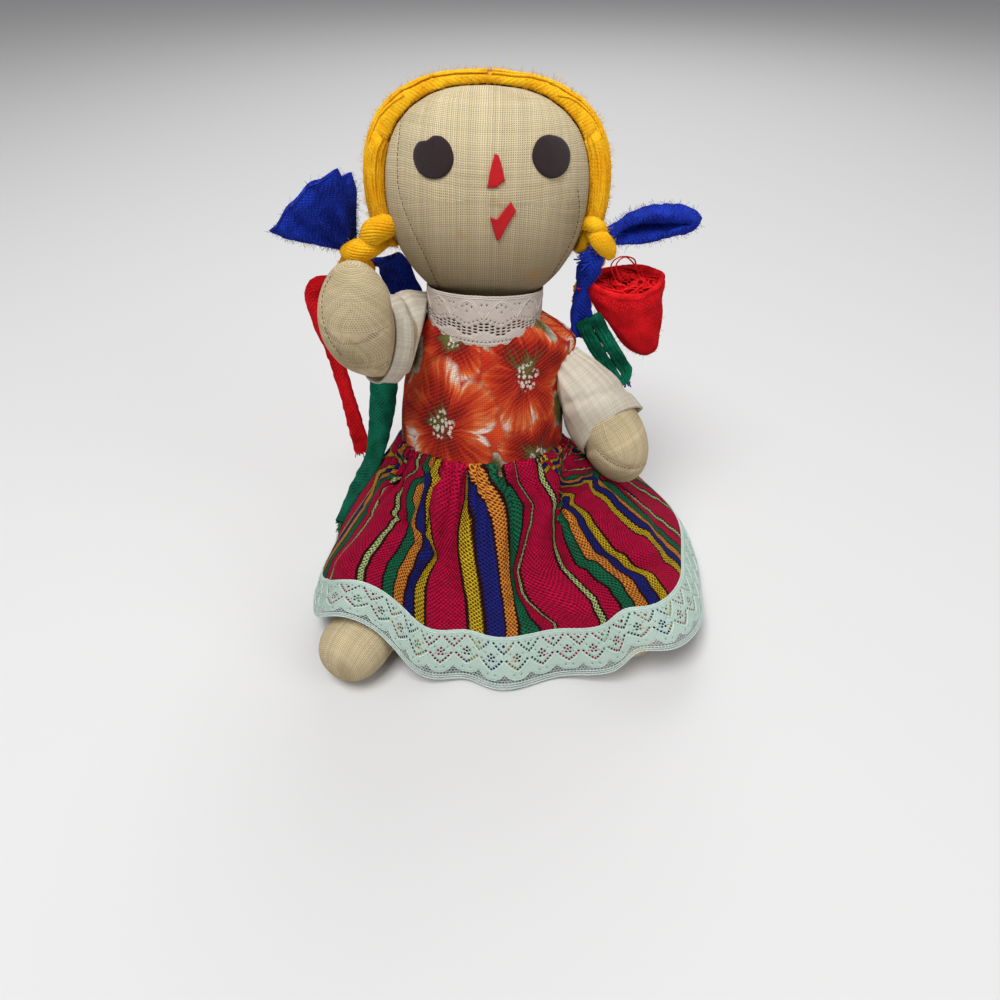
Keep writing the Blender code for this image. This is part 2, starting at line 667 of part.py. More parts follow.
def make_fan_bow():
    """The right bow, a fan of folded ribbon that opens upwards and outwards from the knot."""
    side = "right"
    start = knot_centre(side) + OUTWARD[side] * BOW_OUT
    flat = OUTWARD[side] * cos(BOW_RISE) + UP * sin(BOW_RISE)
    along = flat * cos(BOW_FORWARD) - BACK * sin(BOW_FORWARD)
    wide = OUTWARD[side] * sin(BOW_RISE) - UP * cos(BOW_RISE)
    points = [start + along * (share[0] * BOW_LENGTH) for share in BOW_SHARES]
    halves = [share[1] * BOW_HALF_WIDTH for share in BOW_SHARES]
    depths = [share[2] * BOW_THICKNESS for share in BOW_SHARES]
    name = "right_blue_bow"
    rings = strap_rings(points, halves, depths, [wide] * len(points))
    bow = add_object(name, loft(name, rings), None, RIBBON_BLUE)
    cut(bow, soft_form("right_bow_seat", knot_rings(side), GAP))
    cut(bow, soft_form("right_bow_hair", hair_rings(), GAP))


def make_loop_bow():
    """The left bow, one long hollow loop of ribbon that leans outwards from the knot."""
    side = "left"
    along = OUTWARD[side] * cos(LOOP_RISE) + UP * sin(LOOP_RISE)
    across = UP * cos(LOOP_RISE) - OUTWARD[side] * sin(LOOP_RISE)
    centre = knot_centre(side) + along * (KNOT_RADIUS * LOOP_SEAT_SHARE + LOOP_LENGTH / 2)
    rings = []
    for sign in (-1, 1):
        ring = []
        for index in range(LOOP_POINTS):
            angle = 2 * pi * index / LOOP_POINTS
            place = along * (cos(angle) * LOOP_LENGTH / 2) + across * (sin(angle) * LOOP_HALF_HEIGHT)
            ring.append(centre + place + BACK * (sign * LOOP_DEPTH / 2))
        rings.append(ring)
    name = "left_blue_bow"
    bow = add_object(name, loft(name, rings, False), None, RIBBON_BLUE)
    thicken(bow, LOOP_BAND)
    cut(bow, soft_form("left_bow_seat", knot_rings(side), GAP))
    cut(bow, soft_form("left_bow_hair", hair_rings(), GAP))


def ribbon_rings(side, shares, half_width, thickness=RIBBON_THICKNESS):
    points = [from_hinge(side, row[:3]) for row in shares]
    wides = [OUTWARD[side].lerp(BACK, row[3]) for row in shares]
    count = len(points)
    return strap_rings(points, [half_width] * count, [thickness] * count, wides)


def make_ribbon(name, side, shares, half_width, colour, pivot):
    """A flat ribbon along its places from the hinge, trimmed where it leaves the braid."""
    ribbon = add_object(name, loft(name, ribbon_rings(side, shares, half_width)), pivot, colour)
    cut(ribbon, soft_form(name + "_seat", braid_rings(side), GAP, pivot))


def make_rose(pivot):
    """The left red ribbon, gathered into a cup that is dished at its top and drawn to a point below."""
    rings = []
    for row in ROSE_SHARES:
        depth = BACK * (row[3] * ROSE_HALF_DEPTH)
        rings.append(oval(from_hinge("left", row[:3]), OUTWARD["left"] * (row[3] * ROSE_HALF_WIDTH),
                          -depth, depth, LIMB_SIDES))
    rose = soft_form("left_red_ribbon", rings, 0.0, pivot, RIBBON_RED)
    cut(rose, soft_form("left_rose_seat", braid_rings("left"), GAP, pivot))
    tail = ribbon_rings("left", BLUE_SHARES["left"], BLUE_HALF_WIDTH["left"] + GAP, RIBBON_THICKNESS + GAP * 2)
    cut(rose, add_object("left_rose_notch", loft("left_rose_notch", tail), pivot))


def make_braid(side):
    pivot = add_pivot(side + "_braid_hinge", hinge_centre(side))
    soft_form(side + "_braid", braid_rings(side), 0.0, pivot, YARN_GOLD)
    make_ribbon(side + "_blue_tail", side, BLUE_SHARES[side], BLUE_HALF_WIDTH[side], RIBBON_BLUE, pivot)
    make_ribbon(side + "_green_ribbon", side, GREEN_SHARES[side], GREEN_HALF_WIDTH, RIBBON_GREEN, pivot)
    if side == "left":
        make_rose(pivot)
    else:
        make_ribbon("right_red_ribbon", side, RED_SHARES, RED_HALF_WIDTH, RIBBON_RED, pivot)


def shoulder_normal(side):
    """Outward normal of the plane that one arm turns against, tilted to clear the belly."""
    return ACROSS * (OUTWARD[side].x * cos(SHOULDER_TILT)) + SPINE * sin(SHOULDER_TILT)


def shoulder_centre(side):
    return on_spine(SHOULDER_HEIGHT, OUTWARD[side].x * SHOULDER_OUT)


def between_rings(values, share):
    """A value read along an arm's rings, from 0 at the first to 1 at the last."""
    place = share * (len(values) - 1)
    index = min(int(place), len(values) - 2)
    rest = place - index
    return values[index] * (1 - rest) + values[index + 1] * rest


def make_arm(side):
    """A bent arm in two panels that meet in the plane of its bend, cut flat where it meets the blouse."""
    centre = shoulder_centre(side)
    pivot = add_pivot(side + "_shoulder", centre)
    points = [centre + Vector(row[:3]) * ARM_REACH for row in ARM_SHARES[side]]
    radii = [row[3] * UPPER_ARM_RADIUS + row[4] * HAND_RADIUS for row in ARM_SHARES[side]]
    middle = points[len(points) // 2]
    inwards = (middle - points[0]).cross(points[-1] - points[0]).normalized()
    if inwards.dot(OUTWARD[side]) > 0:
        inwards = -inwards
    names = (side + "_arm_inner_panel", side + "_arm_outer_panel")
    rings = tube_rings(points, radii, radii, inwards)
    normal = shoulder_normal(side)
    plane = half_space(side + "_shoulder_plane", centre + normal * GAP, normal, pivot)
    for piece in stuffed(side + "_arm", names, rings, points[0], inwards, pivot):
        cut(piece, plane)
    make_sleeve(side, points, inwards, plane, pivot)


def make_sleeve(side, points, wide, plane, pivot):
    """A tube of white cotton round the upper arm, widest at its cuff."""
    name = side + "_sleeve"
    shares = [SLEEVE_REACH_SHARE[side] * row / (SLEEVE_ROWS - 1) for row in range(SLEEVE_ROWS)]
    places = [between_rings(points, share) for share in shares]
    rings = []
    for row, place in enumerate(places):
        along = slope(places, row)
        across = (wide - along * wide.dot(along)).normalized()
        deep = along.cross(across)
        radius = SLEEVE_ROOT_RADIUS + (CUFF_RADIUS[side] - SLEEVE_ROOT_RADIUS) * row / (SLEEVE_ROWS - 1)
        turns = [2 * pi * corner / SLEEVE_SIDES for corner in range(SLEEVE_SIDES)]
        rings.append([place + (across * cos(turn) + deep * sin(turn)) * radius for turn in turns])
    sleeve = add_object(name, loft(name, rings, False), pivot, COTTON_WHITE)
    thicken(sleeve, SLEEVE_CLOTH)
    cut(sleeve, plane)


def foot_centre(side):
    splay = LEG_SPLAY[side]
    foot = hip_centre(side) + Vector((sin(splay), -cos(splay), 0)) * LEG_REACH
    return Vector((foot.x, foot.y, FOOT_RADIUS - FLOOR_PRESS))


def make_leg(side):
    """A stuffed leg that turns on its rounded root, with its foot pressed flat on the floor."""
    hip = hip_centre(side)
    foot = foot_centre(side)
    pivot = add_pivot(side + "_hip", hip)
    points = [hip.lerp(foot, row[0]) for row in LEG_SHARES]
    radii = [row[1] * THIGH_RADIUS + row[2] * FOOT_RADIUS for row in LEG_SHARES]
    names = (side + "_leg_upper_panel", side + "_leg_lower_panel")
    floor = half_space(side + "_foot_floor", Vector(), UP, pivot)
    for piece in stuffed(side + "_leg", names, tube_rings(points, radii, radii, UP), hip, UP, pivot):
        cut(piece, floor)


def hem_points():
    """The hem's outline in world places, each with its share of the skirt's bulge."""
    places = []
    for base, x, y, z, bulge in HEM_SHARES:
        way = Vector((x, y, z))
        if base == "seat":
            places.append((way * HEM_REACH + UP * HEM_LIFT, bulge))
        else:
            places.append((foot_centre(base) + way * FOOT_RADIUS, bulge))
    return places


def smooth_between(before, start, end, after, share):
    """A smooth curve from start to end that also heeds the points on either side of them."""
    square = share * share
    cube = square * share
    return ((start * 2) + (end - before) * share + (before * 2 - start * 5 + end * 4 - after) * square
            + (start * 3 - before - end * 3 + after) * cube) * 0.5


def fold_middle(path, share):
    """The column that a fold's middle runs through at a share of the skirt's length."""
    if share <= path[0][1]:
        return path[0][0]
    for (start, low), (end, high) in zip(path, path[1:]):
        if share <= high:
            return start + (end - start) * (share - low) / (high - low)
    return path[-1][0]


def skirt_relief(column, share):
    """How far the deep folds raise or sink the skirt at one place."""
    column = column - SKIRT_COLUMNS if column > SKIRT_COLUMNS / 2 else column
    total = 0.0
    for height, width, path in RELIEF_FOLDS:
        across = (column - fold_middle(path, share)) / width
        past = max(path[0][1] - share, share - path[-1][1], 0.0) / RELIEF_FADE
        total += height * exp(-across * across - past * past)
    return total * RELIEF_HEIGHT * min(share / RELIEF_START, 1.0)


def skirt_place(places, column, share):
    """World place on the skirt: the column goes round from the front, the share from waist to hem."""
    count = len(places)
    place = column / SKIRT_COLUMNS * count
    index = int(place)
    near = [places[(index + step) % count] for step in (-1, 0, 1, 2)]
    hem = smooth_between(*[item[0] for item in near], place - index)
    bulge = smooth_between(*[item[1] for item in near], place - index) * SKIRT_BULGE
    middle = on_spine(WAIST_HEIGHT / 2)
    angle = atan2(hem.x - middle.x, middle.y - hem.y)
    snug = BLOUSE_OUTSIDE + GAP + SKIRT_CLOTH
    depth = (BELLY_DEPTH if cos(angle) > 0 else BACK_DEPTH) + snug
    waist = on_spine(WAIST_HEIGHT, sin(angle) * (TORSO_HALF_WIDTH + snug), cos(angle) * depth)
    outwards = Vector((sin(angle), -cos(angle), 0))
    fold = FOLD_DEPTH * share * cos(2 * pi * SKIRT_FOLDS * column / SKIRT_COLUMNS)
    swell = bulge * share * share * (1 - share) * 27 / 4
    relief = outwards.lerp(UP, RELIEF_LIFT_SHARE).normalized() * skirt_relief(column, share)
    return waist.lerp(hem, share) + outwards * (swell + fold) + relief


def cloth_grid(name, row_shares, lift, thickness, colour):
    """A closed round of cloth with folds, lifted off the skirt's surface where it lies over the skirt."""
    places = hem_points()
    rings = [[skirt_place(places, column, share) for column in range(SKIRT_COLUMNS)] for share in row_shares]
    cloth = add_object(name, loft(name, rings, False), None, colour)
    if lift:
        grow(cloth, lift)
    thicken(cloth, thickness)


def make_skirt():
    cloth_grid("skirt", SKIRT_ROW_SHARES, 0.0, SKIRT_CLOTH, SKIRT_CRIMSON)
    cloth_grid("hem_lace", LACE_ROW_SHARES, GAP + LACE_CLOTH, LACE_CLOTH, LACE_MINT)


def main():
    for old in list(bpy.data.objects):
        bpy.data.objects.remove(old, do_unlink=True)
    COLLECTIONS["doll"] = new_collection("rag_doll")
    COLLECTIONS["cutters"] = new_collection("cutters")
    make_torso()
    make_bodice()
    make_collar()
    make_head()
    make_face()
    make_hair()
    make_fan_bow()
    make_loop_bow()
    make_skirt()
    for side in OUTWARD:
        make_knot(side)
        make_braid(side)
        make_arm(side)
        make_leg(side)


main()
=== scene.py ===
"""Looks of a sitting rag doll, built round its packed construction model.

Metres, +Z up, the doll faces -Y. Right and left are the doll's own, so its right is towards -X.
Pixels are in the photograph's 1000 x 1000 frame. A cloth's map is in metres along its threads.
"""
from math import atan2, cos, pi, radians, sin

import bpy
import numpy as np
from mathutils import Matrix, Vector, noise
from mathutils.bvhtree import BVHTree
from mathutils.geometry import delaunay_2d_cdt


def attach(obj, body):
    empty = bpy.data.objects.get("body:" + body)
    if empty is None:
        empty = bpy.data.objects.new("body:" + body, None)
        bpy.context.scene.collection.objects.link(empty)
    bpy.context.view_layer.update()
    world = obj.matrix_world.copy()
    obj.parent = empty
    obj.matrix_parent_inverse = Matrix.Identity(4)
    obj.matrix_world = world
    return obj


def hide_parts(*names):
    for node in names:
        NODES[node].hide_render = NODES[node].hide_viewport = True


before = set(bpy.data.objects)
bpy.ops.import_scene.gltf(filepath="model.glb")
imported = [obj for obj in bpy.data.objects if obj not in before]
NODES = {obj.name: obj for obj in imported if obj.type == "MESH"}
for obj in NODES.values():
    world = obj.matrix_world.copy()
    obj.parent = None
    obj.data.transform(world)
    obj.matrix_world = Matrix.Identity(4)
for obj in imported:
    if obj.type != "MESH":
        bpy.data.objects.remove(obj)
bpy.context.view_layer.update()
RANDOM = np.random.default_rng(7)

# Camera of the photograph
PICTURE = 1000
LENS = 25.2
SENSOR = 36.0
CAMERA_PLACE = Vector((0.0120, -0.2705, 0.2959))
CAMERA_TILT = radians(47.96)
CAMERA_TURN = Matrix.Rotation(CAMERA_TILT, 3, "X")

# The leaning body
TURN = Matrix.Rotation(radians(1.9), 3, "Y") @ Matrix.Rotation(radians(-15), 3, "X")
SPINE = TURN @ Vector((0, 0, 1))
ACROSS = TURN @ Vector((1, 0, 0))
FORWARD = TURN @ Vector((0, -1, 0))
HEAD_BASE = 0.1503
HEAD_TOP = 0.2378
CHEEK_HALF_WIDTH = 0.0455
COVER = 0.0010
SIGN = {"right": -1, "left": 1}
KNOT_UP = {"right": 0.0227, "left": 0.0288}
KNOT_OUT = {"right": 0.0567, "left": 0.0527}

# Thread, yarn and cloth sizes
MUSLIN_PITCH = 0.00095
COTTON_PITCH = 0.0007
YARN_RADIUS = 0.00055
FUZZ_RADIUS = 0.00005
THREAD_RADIUS = 0.00016
RIBBON_PITCH = 0.0013
SERAPE_PITCH = 0.0013


def on_spine(height, across=0.0, forward=0.0):
    """World point a height up the leaning spine, and a distance across and forward of it."""
    return SPINE * height + ACROSS * across + FORWARD * forward


def view_way(x, y):
    """World direction in which the camera sees a pixel."""
    across = (x / PICTURE - 0.5) * SENSOR / LENS
    up = (0.5 - y / PICTURE) * SENSOR / LENS
    return CAMERA_TURN @ Vector((across, up, -1))


def seen(x, y, depth):
    """World point that shows at a pixel, on the upright plane at a depth along Y."""
    way = view_way(x, y)
    return CAMERA_PLACE + way * ((depth - CAMERA_PLACE.y) / way.y)


def smooth_route(points, count):
    """A curve of evenly spaced points through a few chosen ones."""
    points = np.array([tuple(p) for p in points], float)
    line = []
    for index in range(len(points) - 1):
        before = points[max(index - 1, 0)]
        start, end = points[index], points[index + 1]
        after = points[min(index + 2, len(points) - 1)]
        for t in np.linspace(0, 1, 16, endpoint=False):
            line.append(0.5 * (2 * start + (end - before) * t + (2 * before - 5 * start + 4 * end - after) * t * t
                               + (3 * start - before - 3 * end + after) * t ** 3))
    line = np.array(line + [points[-1]])
    along = np.concatenate([[0], np.cumsum(np.linalg.norm(np.diff(line, axis=0), axis=1))])
    at = np.linspace(0, along[-1], count)
    return np.stack([np.interp(at, along, line[:, k]) for k in range(line.shape[1])], axis=1)


def unit(vectors):
    return vectors / np.maximum(np.linalg.norm(vectors, axis=-1, keepdims=True), 1e-12)


def frames_along(path, wide=None):
    """Tangents, and two directions square to them that turn as little as they can along a path."""
    tangents = unit(np.gradient(path, axis=0))
    side = np.array(tuple(wide), float) if wide is not None else np.array((0.31, 0.17, 0.93))
    if abs(side @ tangents[0]) > 0.95 * np.linalg.norm(side):
        side = np.array((0.93, 0.17, 0.31))
    sides = []
    for tangent in tangents:
        side = side - tangent * (side @ tangent)
        side = side / np.linalg.norm(side)
        sides.append(side)
    sides = np.array(sides)
    return tangents, sides, np.cross(tangents, sides)


class Bundle:
    """Many tubes gathered into one mesh, with a map along and around each."""

    def __init__(self):
        self.points = []
        self.faces = []
        self.maps = []
        self.count = 0

    def tube(self, path, radius, sides=5, offset=0.0):
        path = np.asarray(path, float)
        radii = np.broadcast_to(np.asarray(radius, float), (len(path),))
        _, across, deep = frames_along(path)
        turns = 2 * pi * np.arange(sides) / sides
        rings = (path[:, None] + across[:, None] * (np.cos(turns)[None, :, None] * radii[:, None, None])
                 + deep[:, None] * (np.sin(turns)[None, :, None] * radii[:, None, None]))
        along = np.concatenate([[0], np.cumsum(np.linalg.norm(np.diff(path, axis=0), axis=1))]) + offset
        start = self.count
        self.points.append(rings.reshape(-1, 3))
        self.count += len(path) * sides
        for row in range(len(path) - 1):
            for side in range(sides):
                after = (side + 1) % sides
                low = start + row * sides
                high = low + sides
                self.faces.append((low + side, low + after, high + after, high + side))
                first, second = side / sides, (side + 1) / sides
                self.maps += [(first, along[row]), (second, along[row]), (second, along[row + 1]),
                              (first, along[row + 1])]
        for ring, order in ((start, -1), (start + (len(path) - 1) * sides, 1)):
            self.faces.append(tuple(ring + k for k in range(sides))[::order])
            self.maps += [(0.5, 0.0)] * sides

    def piece(self, name, material, body, nodes=()):
        return add_piece(name, np.concatenate(self.points), self.faces, material, body, nodes, self.maps)


def add_object(name, points, faces, loop_map=None):
    """An object from points and faces, with a cloth map for its face corners."""
    mesh = bpy.data.meshes.new(name)
    mesh.from_pydata([tuple(p) for p in points], [], faces)
    if loop_map is not None:
        layer = mesh.uv_layers.new(name="cloth")
        layer.uv.foreach_set("vector", np.array(loop_map, np.float32).ravel())
    mesh.shade_smooth()
    obj = bpy.data.objects.new(name, mesh)
    bpy.context.scene.collection.objects.link(obj)
    return obj


def dress(obj, material, body, nodes=()):
    """Gives a piece its material, and says what it rides on and stands for."""
    obj.data.materials.clear()
    obj.data.materials.append(material)
    obj.data.shade_smooth()
    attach(obj, body)
    if nodes:
        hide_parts(*nodes)
    return obj


def add_piece(name, points, faces, material, body, nodes=(), loop_map=None):
    return dress(add_object(name, points, faces, loop_map), material, body, nodes)


def grid_faces(rows, columns, closed, maps):
    """Quads over rows of points, and the map of their corners.

    A closed grid joins its last column to its first.
    """
    faces = []
    corners = []
    for row in range(rows - 1):
        for column in range(columns if closed else columns - 1):
            after = (column + 1) % columns
            low, high = row * columns, (row + 1) * columns
            faces.append((low + column, low + after, high + after, high + column))
            corners += [maps[row][column], maps[row][column + 1]]
            corners += [maps[row + 1][column + 1], maps[row + 1][column]]
    return faces, corners


def lay_grid(name, points, maps, closed, material, body, nodes=(), thickness=0.0):
    """A sheet over rows of points, thickened on its inner side where it has a thickness."""
    points = np.asarray(points, float)
    faces, corners = grid_faces(points.shape[0], points.shape[1], closed, maps)
    obj = add_piece(name, points.reshape(-1, 3), faces, material, body, nodes, corners)
    if thickness:
        solid = obj.modifiers.new("Thickness", "SOLIDIFY")
        solid.thickness = thickness
        solid.offset = -1.0
    return obj


def bake_modifiers(obj):
    """Replaces an object's mesh by what its modifiers make of it."""
    made = bpy.data.meshes.new_from_object(obj.evaluated_get(bpy.context.evaluated_depsgraph_get()))
    obj.modifiers.clear()
    obj.data = made
    return obj


def tree_of(obj):
    return BVHTree.FromObject(obj, bpy.context.evaluated_depsgraph_get())


def smooth_form(name, node, voxel, rounds, swell):
    """A smooth skin of even quads round one solid, moved out by a distance."""
    obj = bpy.data.objects.new(name, NODES[node].data.copy())
    bpy.context.scene.collection.objects.link(obj)
    even = obj.modifiers.new("Even", "REMESH")
    even.mode = "VOXEL"
    even.voxel_size = voxel
    soft = obj.modifiers.new("Soft", "SMOOTH")
    soft.factor = 0.5
    soft.iterations = rounds
    out = obj.modifiers.new("Swell", "DISPLACE")
    out.mid_level = 0.0
    out.strength = swell
    return bake_modifiers(obj)


def vertices_of(obj):
    points = np.zeros(len(obj.data.vertices) * 3, np.float32)
    obj.data.vertices.foreach_get("co", points)
    return points.reshape(-1, 3).astype(float)


def move_vertices(obj, points):
    obj.data.vertices.foreach_set("co", points.astype(np.float32).ravel())
    obj.data.update()


def normals_of(obj):
    normals = np.zeros(len(obj.data.vertices) * 3, np.float32)
    obj.data.vertices.foreach_get("normal", normals)
    return normals.reshape(-1, 3).astype(float)


def unroll(obj, route, facing):
    """Maps a round form's cloth in metres, along and around a route through its middle, from its facing side."""
    points = vertices_of(obj)
    route = np.array([tuple(p) for p in route], float)
    best = np.full(len(points), np.inf)
    along = np.zeros(len(points))
    radius = np.zeros(len(points))
    angle = np.zeros(len(points))
    passed = 0.0
    for index, (start, end) in enumerate(zip(route, route[1:])):
        way = end - start
        length = np.linalg.norm(way)
        way = way / length
        front = np.array(tuple(facing), float)
        front = unit(front - way * (front @ way))
        side = np.cross(way, front)
        reach = (points - start) @ way
        low = -np.inf if index == 0 else 0.0
        high = np.inf if index == len(route) - 2 else length
        held = np.clip(reach, low, high)
        out = points - start - held[:, None] * way
        distance = np.linalg.norm(out, axis=1)
        nearer = distance < best
        best[nearer] = distance[nearer]
        along[nearer] = passed + held[nearer]
        radius[nearer] = distance[nearer]
        angle[nearer] = np.arctan2(out @ side, out @ front)[nearer]
        passed += length
    wide = np.percentile(radius, 85)
    round_end = np.where(along > passed / 2, 1.0, -1.0) * np.maximum(wide - radius, 0) * 0.57
    corners = np.zeros(len(obj.data.loops), np.int32)
    obj.data.loops.foreach_get("vertex_index", corners)
    turned = angle[corners].reshape(-1, 4)
    turned = np.where((turned.max(1) - turned.min(1) > pi)[:, None] & (turned < 0), turned + 2 * pi, turned)
    flat = np.stack([turned.ravel() * radius[corners], (along + round_end)[corners]], axis=1)
    for old in list(obj.data.uv_layers):
        obj.data.uv_layers.remove(old)
    obj.data.uv_layers.new(name="cloth").uv.foreach_set("vector", flat.astype(np.float32).ravel())


def press_seam(obj, line, width, depth):
    """Draws a form in along a sewn line."""
    points = vertices_of(obj)
    near = np.full(len(points), np.inf)
    for spot in line:
        near = np.minimum(near, np.linalg.norm(points - spot, axis=1))
    move_vertices(obj, points - normals_of(obj) * (np.exp(-(near / width) ** 2) * depth)[:, None])


def line_on(tree, pixels, count):
    """A line on a surface where the camera sees a row of pixels."""
    spots = []
    for x, y in smooth_route([(x, y, 0) for x, y in pixels], count)[:, :2]:
        hit = tree.ray_cast(CAMERA_PLACE, view_way(x, y).normalized())
        if hit[0] is not None:
            spots.append(tuple(hit[0]))
    return np.array(spots)


def stitch_line(bundle, tree, line, length=0.0013, gap=0.0008, radius=THREAD_RADIUS):
    """Short stitches that dip in and out of a surface along a line."""
    total = np.linalg.norm(np.diff(line, axis=0), axis=1).sum()
    count = max(int(total / (length + gap)), 1)
    fine = smooth_route(line, count * 5)
    for index in range(count):
        spots = []
        for step, rise in zip(range(4), (-0.1, 0.6, 0.6, -0.1)):
            place = Vector(fine[index * 5 + step])
            hit = tree.find_nearest(place)
            normal = hit[1] if hit[1] is not None else -FORWARD
            spots.append(tuple((hit[0] or place) + normal * (rise * radius)))
        bundle.tube(spots, radius, 4)


class Look:
    """Builds one material out of nodes, written as plain arithmetic."""

    def __init__(self, name):
        self.material = bpy.data.materials.new(name)
        self.material.use_nodes = True
        self.tree = self.material.node_tree
        self.shader = self.tree.nodes["Principled BSDF"]
        uv = self.node("ShaderNodeUVMap", uv_map="cloth").outputs["UV"]
        self.uv = uv
        split = self.node("ShaderNodeSeparateXYZ", {"Vector": uv})
        self.u, self.v = split.outputs["X"], split.outputs["Y"]
        self.place = self.node("ShaderNodeTexCoord").outputs["Object"]

    def node(self, kind, inputs=None, **settings):
        made = self.tree.nodes.new(kind)
        for key, value in settings.items():
            setattr(made, key, value)
        for key, value in (inputs or {}).items():
            self.put(made.inputs[key], value)
        return made

    def put(self, socket, value):
        if isinstance(value, bpy.types.NodeSocket):
            self.tree.links.new(value, socket)
        else:
            socket.default_value = value

    def math(self, operation, first, second=0.0, third=0.0):
        return self.node("ShaderNodeMath", {0: first, 1: second, 2: third}, operation=operation).outputs[0]

    def add(self, first, second):
        return self.math("ADD", first, second)

    def times(self, first, second):
        return self.math("MULTIPLY", first, second)

    def wave(self, value, pitch, shift=0.0):
        """A smooth wave from 0 to 1 with a pitch in metres."""
        turned = self.math("MULTIPLY_ADD", value, 2 * pi / pitch, shift)
        return self.math("MULTIPLY_ADD", self.math("SINE", turned), 0.5, 0.5)

    def step(self, value, low, high):
        """0 below low, 1 above high and smooth between them."""
        return self.node("ShaderNodeMapRange", {"Value": value, "From Min": low, "From Max": high},
                         interpolation_type="SMOOTHSTEP").outputs["Result"]

    def mix(self, share, first, second, blend="MIX"):
        made = self.node("ShaderNodeMix", data_type="RGBA", blend_type=blend)
        for index, value in ((0, share), (6, first), (7, second)):
            if isinstance(value, tuple) and len(value) == 3:
                value = (*value, 1.0)
            self.put(made.inputs[index], value)
        return made.outputs[2]

    def noise(self, scale, detail=2.0, vector=None, roughness=0.5, output="Fac"):
        return self.node("ShaderNodeTexNoise", {"Vector": vector or self.place, "Scale": scale, "Detail": detail,
                                                "Roughness": roughness}).outputs[output]

    def tone(self, index):
        """A random value from 0 to 1 for each whole number."""
        return self.node("ShaderNodeTexWhiteNoise", {"W": index}, noise_dimensions="1D").outputs["Value"]

    def uneven(self, value, amount, scale=120.0):
        """A coordinate that wanders, as hand-handled threads do."""
        return self.math("MULTIPLY_ADD", self.noise(scale, 1.0), amount, value)

    def finish(self, colour, roughness=0.9, height=None, distance=0.0003, strength=1.0, sheen=0.0):
        self.put(self.shader.inputs["Base Color"], (*colour, 1.0) if isinstance(colour, tuple) else colour)
        self.put(self.shader.inputs["Roughness"], roughness)
        self.shader.inputs["Sheen Weight"].default_value = sheen
        self.shader.inputs["Specular IOR Level"].default_value = 0.10
        if height is not None:
            bump = self.node("ShaderNodeBump", {"Height": height, "Distance": distance, "Strength": strength})
            self.put(self.shader.inputs["Normal"], bump.outputs["Normal"])
        return self.material


def woven_look(name, light, dark, pitch, hole, tint=None):
    """Plain-woven cloth: threads both ways, small gaps between them painted dark as shade, and uneven tone; with a
    tint, painted shade darkening towards the bottom of the form, and random brown stains.
    """
    look = Look(name)
    u = look.uneven(look.u, pitch * 0.7, 260.0)
    v = look.uneven(look.v, pitch * 0.7, 210.0)
    warp = look.wave(u, pitch)
    weft = look.wave(v, pitch)
    gap = look.times(look.step(warp, 0.35, 0.92), look.step(weft, 0.35, 0.92))
    cross = look.wave(look.add(u, v), pitch * 2)
    back = look.wave(look.math("SUBTRACT", u, v), pitch * 2)
    over = look.times(cross, back)
    thread = look.tone(look.math("FLOOR", look.times(v, 1 / pitch)))
    thick = look.tone(look.math("FLOOR", look.times(u, 1 / pitch)))
    spots = look.step(look.noise(38.0, 3.0), 0.50, 0.78)
    colour = look.mix(spots, light, dark)
    colour = look.mix(look.times(thread, 0.38), colour, tuple(min(1.35 * c, 1.0) for c in light))
    colour = look.mix(look.times(thick, 0.28), colour, tuple(0.55 * c for c in dark))
    # Painted shade: with a tint the colour darkens towards the bottom, fully below the height low, as the shade
    # under the chin; the stains after it are random marks.
    if tint is not None:
        low, high, brown = tint
        height = look.node("ShaderNodeSeparateXYZ", {"Vector": look.place}).outputs["Z"]
        colour = look.mix(look.times(look.step(height, high, low), 0.88), colour, brown)
        stain = look.times(look.step(look.noise(62.0, 2.0), 0.66, 0.74), 0.40)
        colour = look.mix(stain, colour, (0.42, 0.20, 0.05))
    # Painted shade: the small gaps between the threads are darkened by the strength hole.
    colour = look.mix(look.times(gap, hole), colour, tuple(0.22 * c for c in dark))
    height = look.math("SUBTRACT", look.add(look.times(over, 0.5), look.times(thread, 0.15)),
                       look.times(gap, 0.9))
    return look.finish(colour, 0.92, height, 0.00022, 0.75)


def yarn_look(name, light, dark, pitch=0.0016):
    """Twisted wool: slanting strands round a tube, long fine fibres, fuzzy tone and painted shade in the grooves of
    the twist.
    """
    look = Look(name)
    twist = look.wave(look.add(look.v, look.times(look.u, pitch * 1.6)), pitch)
    along = look.node("ShaderNodeCombineXYZ", {"X": look.times(look.u, 7.0), "Y": look.times(look.v, 420.0)})
    fibre = look.noise(1.0, 3.0, along.outputs["Vector"], 0.65)
    patch = look.noise(110.0, 3.0)
    colour = look.mix(look.step(patch, 0.3, 0.7), dark, light)
    bright = tuple(min(1.3 * c, 1.0) for c in light)
    colour = look.mix(look.times(look.step(fibre, 0.45, 0.75), 0.45), colour, bright)
    # Painted shade in the grooves between the twisted strands.
    colour = look.mix(look.times(look.math("SUBTRACT", 1.0, twist), 0.16), colour, tuple(0.4 * c for c in dark))
    height = look.add(look.times(twist, 0.4), fibre)
    return look.finish(colour, 0.85, height, 0.00025, 0.9)


